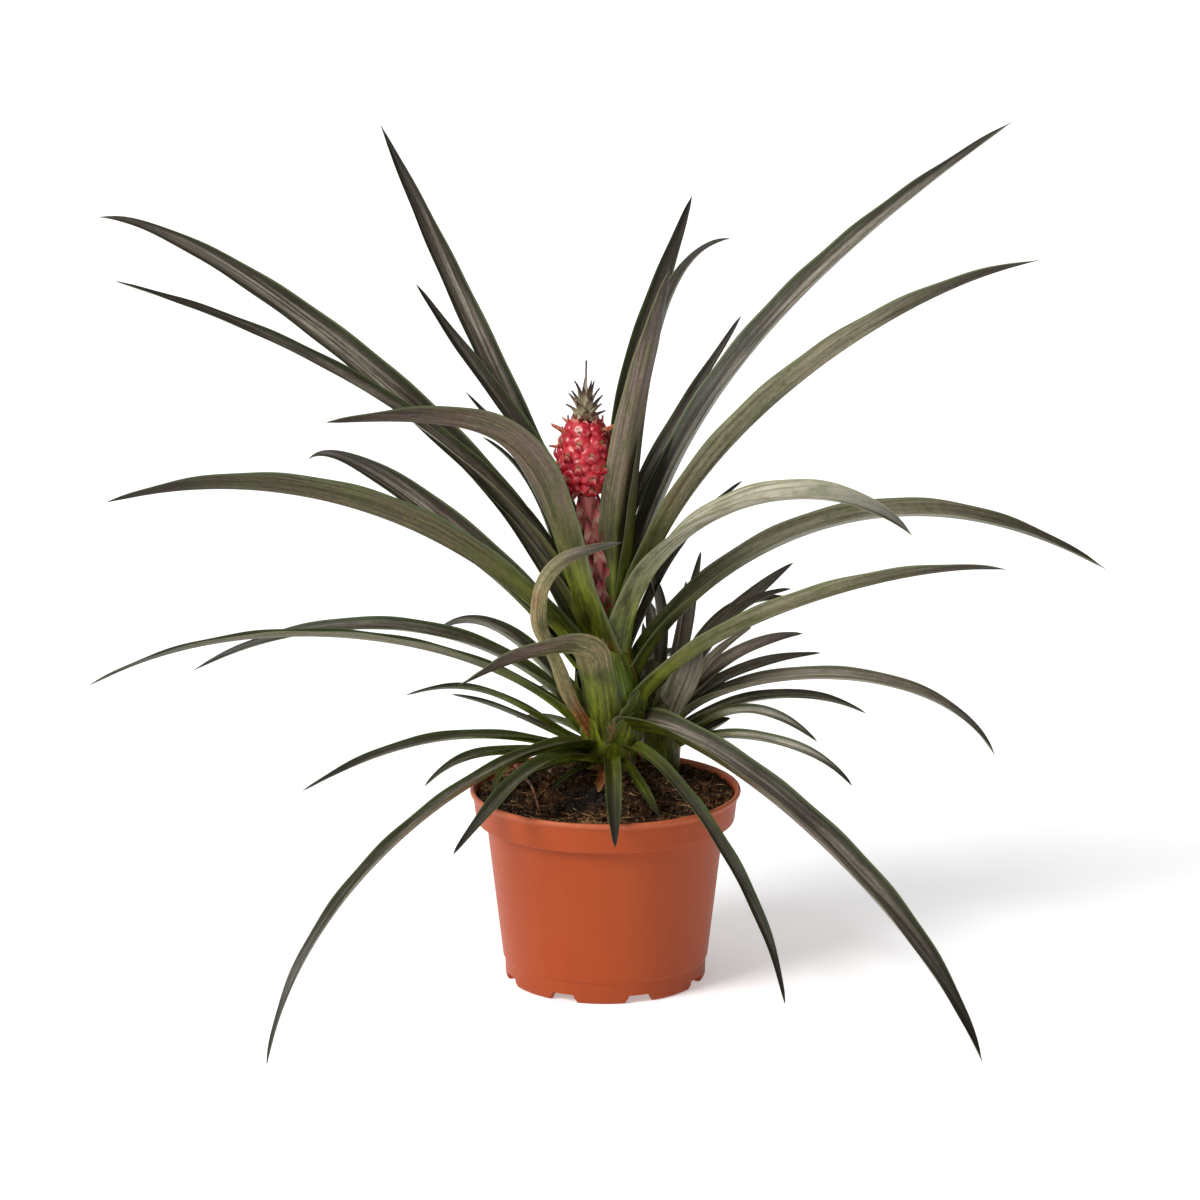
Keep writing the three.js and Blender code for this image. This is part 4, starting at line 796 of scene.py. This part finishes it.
# Turn, root, rise, reach, tip, fall, the two pulls, width and roll; then how purple and how pale.
OFFSHOOT_LEAVES = [
    (60, 136, 45, 46, 224, 66, 0.38, 0.38, 9, 0, 0.8, 0.3),
    (150, 138, 86, 10, 227, 60, 0.38, 0.38, 13, 0, 0.8, 0.4),
    (0, 134, 84, 14, 216, 80, 0.38, 0.38, 8, 0, 0.9, 0.3),
    (12, 134, 66, 76, 223, 37, 0.45, 0.45, 14, 25, 1.0, 0.4),
    (100, 132, 72, 42, 196, 15, 0.38, 0.38, 11, 0, 0.8, 0.4),
    (-5, 131, 61, 72, 213, 9, 0.38, 0.38, 10, 30, 0.9, 0.3),
    (-35, 130, 61, 60, 198, 33, 0.38, 0.38, 12, 25, 0.9, 0.3),
    (14, 129, 78, 85, 198, -21, 0.4, 0.5, 10, 20, 0.8, 0.3),
    (175, 128, 86, 10, 192, 84, 0.38, 0.38, 22, 0, 1.0, 0.7),
    (-12, 127, 63, 80, 190, 10, 0.38, 0.38, 13, 30, 1.0, 0.2),
    (5, 125, 64, 90, 173, 5, 0.38, 0.38, 10, 25, 0.6, 0.3),
    (-60, 124, 66, 42, 187, 60, 0.38, 0.38, 22, -10, 1.0, 0.5),
    (55, 124, 56, 70, 158, -22, 0.38, 0.38, 10, 0, 0.3, 0.3),
    (-8, 124, 80, 187, 123, -63, 0.25, 0.4, 14, 15, 0.7, 0.4),
    (-2, 121, 62, 115, 141, -29, 0.22, 0.42, 10, 20, 0.2, 0.4),
    (-22, 120, 40, 93, 133, -34, 0.45, 0.5, 10, 20, 0.1, 0.5),
    (-15, 119, 32, 40, 140, 28, 0.38, 0.38, 16, 20, 0.4, 0.2),
    (-30, 119, 36, 120, 115, -46, 0.3, 0.3, 10, 15, 0.1, 0.4),
]

# Its purple leaves have the colours of a leaf further from its foot, on both faces.
shoot = []
for number, values in enumerate(OFFSHOOT_LEAVES):
    turn, root, *bend, width, roll, purple, pale = values
    rib = bent_rib(OFFSHOOT_AXIS, OFFSHOOT_ROOT_RADIUS, turn, root, *bend)
    tint = (purple, min(0.35 + pale, 1), 0)
    rings, places = leaf(rib, turn, width, roll, wave=0.25, seed=80 + number, tint=tint)
    places["blade_grain"][..., 1] += 90 * purple
    places["blade_place"][..., 2] *= 1 - 0.6 * purple
    shoot.append((rings, places))
grown("offshoot_leaves", shoot, 0, waxy, "offshoot", "offshoot")

core_angles = np.linspace(0, 2 * np.pi, 48, endpoint=False)
core = turned(rounded(OFFSHOOT_CORE, 3), core_angles)
core_grain = np.stack([core_angles * 7 + 0 * core[..., 2], core[..., 2], 0 * core[..., 2]], -1)
core = core + np.array([*OFFSHOOT_AXIS, 0])
place(skin("offshoot_core", core[None], blade_grain=core_grain[None]), sheath, "offshoot")

# Its own broad bases clasp it, purple-brown and pale at the edges.
clasps = [clasp(OFFSHOOT_AXIS, OFFSHOOT_GIRTH, *shape, lift=0.5 + 0.5 * number, seed=140 + number,
                tint=(1.0, 0.5), aged=20) for number, shape in enumerate(OFFSHOOT_CLASPS)]
grown("offshoot_clasping_bases", clasps, 0, waxy, "offshoot")

# ---------------------------------------------------------------- fruit stalk
# The stalk leans to the left out of the heart of the plant, clad in overlapping pointed bracts.

STALK_FOOT = np.array([STEM_X, STEM_Y, 192.3])
STALK_HEAD = STALK_FOOT + np.array([-14, -2, 80])
STALK_RADIUS, STALK_HEAD_RADIUS = 3.6, 5.0
BRACT_RINGS, BRACTS_IN_RING, BRACT_LENGTH, BRACT_WIDTH = 11, 3, 14, 9.5
BRACT_RING_TURN = 47
SCALE_SECTIONS, SCALE_COLUMNS = 20, 9


def scale_blade(root, tip, width, bulge=0.0, fold=35, thin=0.8, **more):
    """A pointed scale from root to tip. Its line bows outwards by bulge times sin(pi s), and its half
    width is w/2 (1 - s^1.7), so that it is widest at its foot."""
    root, tip = np.array(root, float), np.array(tip, float)
    outward = root * [1, 1, 0]
    outward = outward / np.linalg.norm(outward)
    s = np.linspace(0, 1, 60)[:, None]
    line = root + (tip - root) * s + outward * bulge * np.sin(np.pi * s)
    share = np.linspace(0, 1, SCALE_SECTIONS)
    side = np.cross([0, 0, 1.0], outward)
    half = width / 2 * (1.002 - share ** 1.7)
    return strap(line, side, half, math.radians(fold), 0, thin,
                 columns=SCALE_COLUMNS, sections=SCALE_SECTIONS, **more)


def scale_skin(name, vein_size, shift, stops, roughness, relief=0):
    """A material for small scales. Its colours run from foot to tip, moved by shift times the height of
    fine veins; with no shift they follow the veins alone. Relief is how far the veins stand out."""
    material, tree = new_material(name)
    grain_at = add(tree, "Attribute", attribute_name="blade_grain")[1]
    vein = add(tree, "TexNoise", {"Vector": add(tree, "Mapping", {0: grain_at, 3: vein_size})[0],
                                  "Scale": 1, "Detail": 3})[0]
    along = vein
    if shift:
        where = add(tree, "SeparateXYZ", [add(tree, "Attribute", attribute_name="blade_place")[1]])
        along = add(tree, "Math", [vein, shift, where[1]], operation="MULTIPLY_ADD")[0]
    inputs = {"Base Color": add(tree, "ValToRGB", [along], stops)[0], "Roughness": roughness, "IOR": 1.45}
    if relief:
        inputs["Normal"] = add(tree, "Bump", {"Strength": relief, "Distance": 0.0003, "Height": vein})[0]
    add(tree, "OutputMaterial", [add(tree, "BsdfPrincipled", inputs)[0]])
    return material


def around(angle, distance, height):
    """A point at an angle in degrees and a distance from an upright axis."""
    return [distance * math.cos(math.radians(angle)), distance * math.sin(math.radians(angle)), height]


def leaning(points):
    """Points made round an upright axis, tipped along the stalk: p = foot + x i + y j + z k."""
    k = STALK_HEAD - STALK_FOOT
    k = k / np.linalg.norm(k)
    i = np.cross([0, 1.0, 0], k)
    i = i / np.linalg.norm(i)
    j = np.cross(k, i)
    return STALK_FOOT + points[..., :1] * i + points[..., 1:2] * j + points[..., 2:] * k


stalk_length = np.linalg.norm(STALK_HEAD - STALK_FOOT)
stalk_profile = [(0, 0), (STALK_RADIUS, 0), (STALK_HEAD_RADIUS, stalk_length - 1), (0, stalk_length)]
stalk_core = leaning(turned(rounded(stalk_profile, 1.5), core_angles))
bract_pitch = (stalk_length - BRACT_LENGTH) / (BRACT_RINGS - 1)
bracts = []
for number in range(BRACT_RINGS * BRACTS_IN_RING):
    level = number // BRACTS_IN_RING
    angle = 360 / BRACTS_IN_RING * number + BRACT_RING_TURN * level
    foot = bract_pitch * level
    top = min(foot + BRACT_LENGTH, stalk_length - 1)
    wide = STALK_RADIUS + (STALK_HEAD_RADIUS - STALK_RADIUS) * top / stalk_length
    rings, places = scale_blade(around(angle, wide - 0.9, foot), around(angle, wide + 1.0, top), BRACT_WIDTH,
                                bulge=1.1, fold=-38, seed=number)
    bracts.append((leaning(rings), places))

# Fleshy bracts: cream at the foot, pink to brick red above, with a dry brown point and fine veins.
bract_skin = scale_skin("pink_fleshy_bract", (1.5, 0.08, 1), 0.3, [
    (0.16, "#b5605a"), (0.4, "#c8a088"), (0.65, "#bb6a60"), (0.88, "#a02e38"), (1.1, "#6a3028")], 0.45, 0.3)
grown("stalk_bracts", bracts, 0, bract_skin, "stalk", "fruit_stalk")
place(skin("stalk_core", stalk_core[None]), bract_skin, "stalk")

# ---------------------------------------------------------------- fruit
# A small red pineapple: six staggered rows of swollen glossy berries on one core, each with a pointed
# scale over its eye, long bracts below, and a few dried coral flowers standing out round its shoulder.

FRUIT_CENTRE = STALK_HEAD + np.array([0, 0, 19.3])
FRUIT_RADIUS, FRUIT_HALF_HEIGHT = 12.2, 19
BERRY_ROWS, BERRIES_AROUND = 6, 7
BERRY_SWELL, BERRY_HALF_WIDTH, BERRY_HALF_HEIGHT = 3.8, 6.3, 5.6
OUTER_ROW_LEVEL, FRUIT_NARROWING = 0.82, 0.82
EYE_FOOT_OUT, EYE_TIP_OUT, EYE_BELOW, EYE_ABOVE, EYE_WIDTH = 2.2, 4.2, 4.4, 1.2, 6.4
FRUIT_BRACTS, BRACT_FOOT, BRACT_TIP, BRACT_DROOP = 8, (6, -16), (18.5, -17), 3
TOP_SCALES = 12
FLOWER_FOOT_OUT, FLOWER_TIP_OUT, FLOWER_WIDTH = 11, 20, 4.6
# Turn and height of each dried flower's foot, and how far it rises to its tip.
FRUIT_FLOWERS = [
    (205, 13, 6), (178, 5, 1), (192, -3, -1), (-8, 13, 6), (-32, 15, 5), (160, 12, 5), (30, 10, 3),
    (62, 13, 5), (100, 9, 3), (130, 14, 5)]

berries, eye_scales = [], []
for row in range(BERRY_ROWS):
    level = OUTER_ROW_LEVEL * (2 * row / (BERRY_ROWS - 1) - 1)
    girth = FRUIT_RADIUS * math.sqrt(1 - level ** 2 * FRUIT_NARROWING)
    height = level * FRUIT_HALF_HEIGHT
    count = BERRIES_AROUND - 2 if row in (0, BERRY_ROWS - 1) else BERRIES_AROUND
    for k in range(count):
        angle = 360 * (k + (row % 2) / 2) / count
        berries.append((angle, girth, height, level))
        skew = 6 * math.sin(3 * k + 5 * row)
        eye_scales.append(scale_blade(
            around(angle, girth + EYE_FOOT_OUT, height - EYE_BELOW),
            around(angle + skew, girth + EYE_TIP_OUT, height + EYE_ABOVE),
            EYE_WIDTH, bulge=1.5, fold=-30, thin=0.6, seed=row * 9 + k))

for k in range(TOP_SCALES):
    turn = 360 / TOP_SCALES * k
    eye_scales.append(scale_blade(around(turn, 7.5, 15), around(turn, 9.5 - 3 * (k % 2), 23 + k % 3), 6,
                                  bulge=0.8, fold=-28, seed=90 + k))

# A berry swells out from the core as swell cos(p), with a rounded diamond outline and a sunken eye, and
# the upper and lower ones are tipped up and down.
berry_turn, berry_girth, berry_height, berry_level = (
    np.array(values)[:, None, None] for values in zip(*berries))
berry_turn = np.radians(berry_turn)
p = np.radians(np.linspace(100, 4, 9))[:, None]
q = np.linspace(0, 2 * np.pi, 18, endpoint=False)
squarish = (np.abs(np.cos(q)) ** 1.8 + np.abs(np.sin(q)) ** 1.8) ** (-1 / 1.8)
out = BERRY_SWELL * np.cos(p) - 0.6 * np.exp(-((np.sin(p) / 0.24) ** 2)) + 0 * q
wide = BERRY_HALF_WIDTH * np.sin(p) * np.cos(q) * squarish
tall = BERRY_HALF_HEIGHT * np.sin(p) * np.sin(q) * squarish
draw = np.random.default_rng(5)
plump = 0.93 + 0.14 * draw.random((len(berries), 1, 1))
tip_up = 0.5 * berry_level
out_tilted = out * np.cos(tip_up) - tall * np.sin(tip_up)
tall_tilted = out * np.sin(tip_up) + tall * np.cos(tip_up)
radius = berry_girth + out_tilted * plump
berry_rings = np.stack([
    radius * np.cos(berry_turn) - wide * np.sin(berry_turn),
    radius * np.sin(berry_turn) + wide * np.cos(berry_turn),
    berry_height + tall_tilted], -1) + FRUIT_CENTRE
eye = np.exp(-((np.sin(p) / 0.3) ** 2)) + 0 * q
berry_place = np.stack([eye + 0 * radius, tall / BERRY_HALF_HEIGHT + 0 * radius, 0 * radius + plump], -1)
berry_piece = skin("fruit_berries", berry_rings, sharp=180, berry_place=berry_place)
meridian = np.linspace(0, np.pi, 25)
fruit_profile = np.stack([FRUIT_RADIUS * np.sin(meridian), -FRUIT_HALF_HEIGHT * np.cos(meridian)], -1)
fruit_core = turned(fruit_profile, core_angles, -FRUIT_HALF_HEIGHT) + FRUIT_CENTRE

# Ripe berries: crimson and glossy, flecked at random from deep red to crimson, with pink flecks of painted
# highlight.
ripe, tree = new_material("ripe_crimson_berry")
spot = add(tree, "TexCoord")["Object"]
where = add(tree, "SeparateXYZ", [add(tree, "Attribute", attribute_name="berry_place")[1]])
red_and_highlight_flecks = add(tree, "TexNoise", {"Vector": spot, "Scale": 320, "Detail": 4, "Roughness": 0.6})[0]
# The pink end of this ramp is a painted highlight.
colour = add(tree, "ValToRGB", [red_and_highlight_flecks], [
    (0.3, "#7c101a"), (0.46, "#ad1c2a"), (0.58, "#c42f3c"), (0.72, "#dd8078")])[0]
eye_brown = add(tree, "MapRange", [where[0], 0.35, 0.8, 0, 0.85])[0]
colour = add(tree, "Mix", {0: eye_brown, 6: colour, 7: linear("#a87a55")}, data_type="RGBA")[2]
pores = add(tree, "TexNoise", {"Vector": spot, "Scale": 1500, "Detail": 2})[0]
skin_bump = add(tree, "Bump", {"Strength": 0.2, "Distance": 0.0003, "Height": pores})[0]
surface = add(tree, "BsdfPrincipled", {
    "Base Color": colour, "Roughness": 0.3, "IOR": 1.45, "Normal": skin_bump, "Coat Weight": 0.25,
    "Coat Roughness": 0.2})
add(tree, "OutputMaterial", [surface[0]])
place(berry_piece, ripe, "fruit", "fruit")
place(skin("fruit_core", fruit_core[None], sharp=180), ripe, "fruit")

# Eye scales: crimson at the foot, fading through pink to a dry cream and brown point.
eye_skin = scale_skin("crimson_eye_scale", (1.6, 0.3, 1), 0.5, [
    (0.3, "#951826"), (0.6, "#b52a38"), (0.9, "#cf6a66"), (1.1, "#c89a7c"), (1.25, "#6e3a2c")], 0.38)
grown("fruit_eye_scales", eye_scales, FRUIT_CENTRE, eye_skin, "fruit")

# Long bracts under the fruit: leathery, reddish brown, spread like a ruff.
leathery = scale_skin("leathery_bract", (2, 0.1, 1), 0, [
    (0.35, "#4a2622"), (0.5, "#7a3d34"), (0.65, "#a0584c")], 0.5)
ruff = []
for k in range(FRUIT_BRACTS):
    turn = 360 / FRUIT_BRACTS * k + 20
    tip = around(turn, BRACT_TIP[0], BRACT_TIP[1] - BRACT_DROOP * (k % 3))
    ruff.append(scale_blade(around(turn, *BRACT_FOOT), tip, 5, bulge=1.0, fold=20, seed=k))
grown("fruit_ruff", ruff, FRUIT_CENTRE, leathery, "fruit")

# Dried flowers: curled coral spindles that stand out of the upper berries.
coral = scale_skin("dried_coral_petal", (1.2, 0.3, 1), 0, [
    (0.35, "#8a4430"), (0.5, "#c66a50"), (0.65, "#dc9478")], 0.6)
flowers = [
    scale_blade(around(turn, FLOWER_FOOT_OUT, height), around(turn, FLOWER_TIP_OUT, height + rise),
                FLOWER_WIDTH, bulge=-1.0, fold=50, thin=0.9, seed=k)
    for k, (turn, height, rise) in enumerate(FRUIT_FLOWERS)]
grown("fruit_flowers", flowers, FRUIT_CENTRE, coral, "fruit")

# ---------------------------------------------------------------- crown
# A tuft of small stiff leaves on the fruit, cream-green with purple-brown points, round a long spike.

CROWN_SEAT = FRUIT_CENTRE + np.array([0, 0, FRUIT_HALF_HEIGHT + 0.3])
CROWN_LEAVES, CROWN_SHORTEST, CROWN_LONGEST, CROWN_SPIKE = 20, 10, 16, 34
CROWN_ROOT_RADIUS, CROWN_LOWEST, CROWN_RISE = 2.2, 1.5, 7
OUTER_LEAN, INNER_LEAN, GOLDEN_ANGLE = 62, 8, 137.5

tuft = []
for k in range(CROWN_LEAVES):
    share = k / (CROWN_LEAVES - 1)
    lean = math.radians(OUTER_LEAN + (INNER_LEAN - OUTER_LEAN) * share)
    length = CROWN_SHORTEST + (CROWN_LONGEST - CROWN_SHORTEST) * share
    root = np.array(around(GOLDEN_ANGLE * k, CROWN_ROOT_RADIUS, CROWN_LOWEST + CROWN_RISE * share))
    tip = root + np.array(around(GOLDEN_ANGLE * k, length * math.sin(lean), length * math.cos(lean)))
    tuft.append(scale_blade(root, tip, 7.5 - 2 * share, bulge=-1.2, fold=-24, thin=0.7, seed=k))
tuft.append(scale_blade((0.5, 0, 8), (0.6, 0, CROWN_SPIKE), 3.2, fold=-30, thin=0.8, seed=31))

# Stiff leaves: cream-green at the foot, through brown, to a nearly black point, with fine ridges.
stiff = scale_skin("stiff_crown_leaf", (1.6, 0.1, 1), 0.35, [
    (0.3, "#c6bd9c"), (0.6, "#a0977a"), (0.85, "#6a4c46"), (1.05, "#33222a")], 0.5, 0.3)
grown("crown_leaves", tuft, CROWN_SEAT, stiff, "crown", "crown")

# ---------------------------------------------------------------- studio
# A plain pale floor, a soft sun from the upper left front, an even white sky, and the camera.

FLOOR_RADIUS = 30000
SUN_DIRECTION, SUN_STRENGTH, SUN_WIDTH = (-1.0, -0.8, 1.0), 2.7, 26
CAMERA_AT, CAMERA_DOWN, CAMERA_LENS, CAMERA_SENSOR = (-0.003, -2.2, 0.733), 13.27, 123.84, 36

floor_rings = turned([(FLOOR_RADIUS, -1.0), (FLOOR_RADIUS, -0.02)], core_angles, -50)
floor = skin("floor", floor_rings[None])
paper, tree = new_material("white_studio_paper")
spot = add(tree, "TexCoord")["Object"]
tooth = add(tree, "TexNoise", {"Vector": spot, "Scale": 4, "Detail": 2})[0]
colour = add(tree, "ValToRGB", [tooth], [(0.3, "#f4f4f4"), (0.7, "#f7f7f7")])[0]
surface = add(tree, "BsdfPrincipled", {"Base Color": colour, "Roughness": 0.9, "Specular IOR Level": 0.1,
                                       "Emission Color": (1, 1, 1, 1), "Emission Strength": 0.36})
add(tree, "OutputMaterial", [surface[0]])
floor.data.materials.append(paper)

# The sky is a white tent round the set, brightest on the left and dimmer on the right.
world = bpy.data.worlds.new("studio_tent")
world.use_nodes = True
tree = world.node_tree
toward = add(tree, "SeparateXYZ", [add(tree, "TexCoord")["Generated"]])
tent = add(tree, "MapRange", [toward[0], -0.8, 0.9, 0.75, 0.08], interpolation_type="SMOOTHSTEP")[0]
tree.nodes["Background"].inputs["Color"].default_value = (1, 1, 1, 1)
tree.links.new(tent, tree.nodes["Background"].inputs["Strength"])
bpy.context.scene.world = world

sun_data = bpy.data.lights.new("soft_key", "SUN")
sun_data.energy = SUN_STRENGTH
sun_data.angle = math.radians(SUN_WIDTH)
sun = bpy.data.objects.new("soft_key", sun_data)
sun.rotation_mode = "QUATERNION"
sun.rotation_quaternion = Vector(SUN_DIRECTION).to_track_quat("Z", "Y")
bpy.context.scene.collection.objects.link(sun)

camera_data = bpy.data.cameras.new("camera")
camera_data.lens = CAMERA_LENS
camera_data.sensor_width = CAMERA_SENSOR
camera = bpy.data.objects.new("camera", camera_data)
camera.location = CAMERA_AT
camera.rotation_euler = (math.radians(90 - CAMERA_DOWN), 0, 0)
bpy.context.scene.collection.objects.link(camera)
bpy.context.scene.camera = camera
bpy.context.scene.view_settings.view_transform = "Standard"
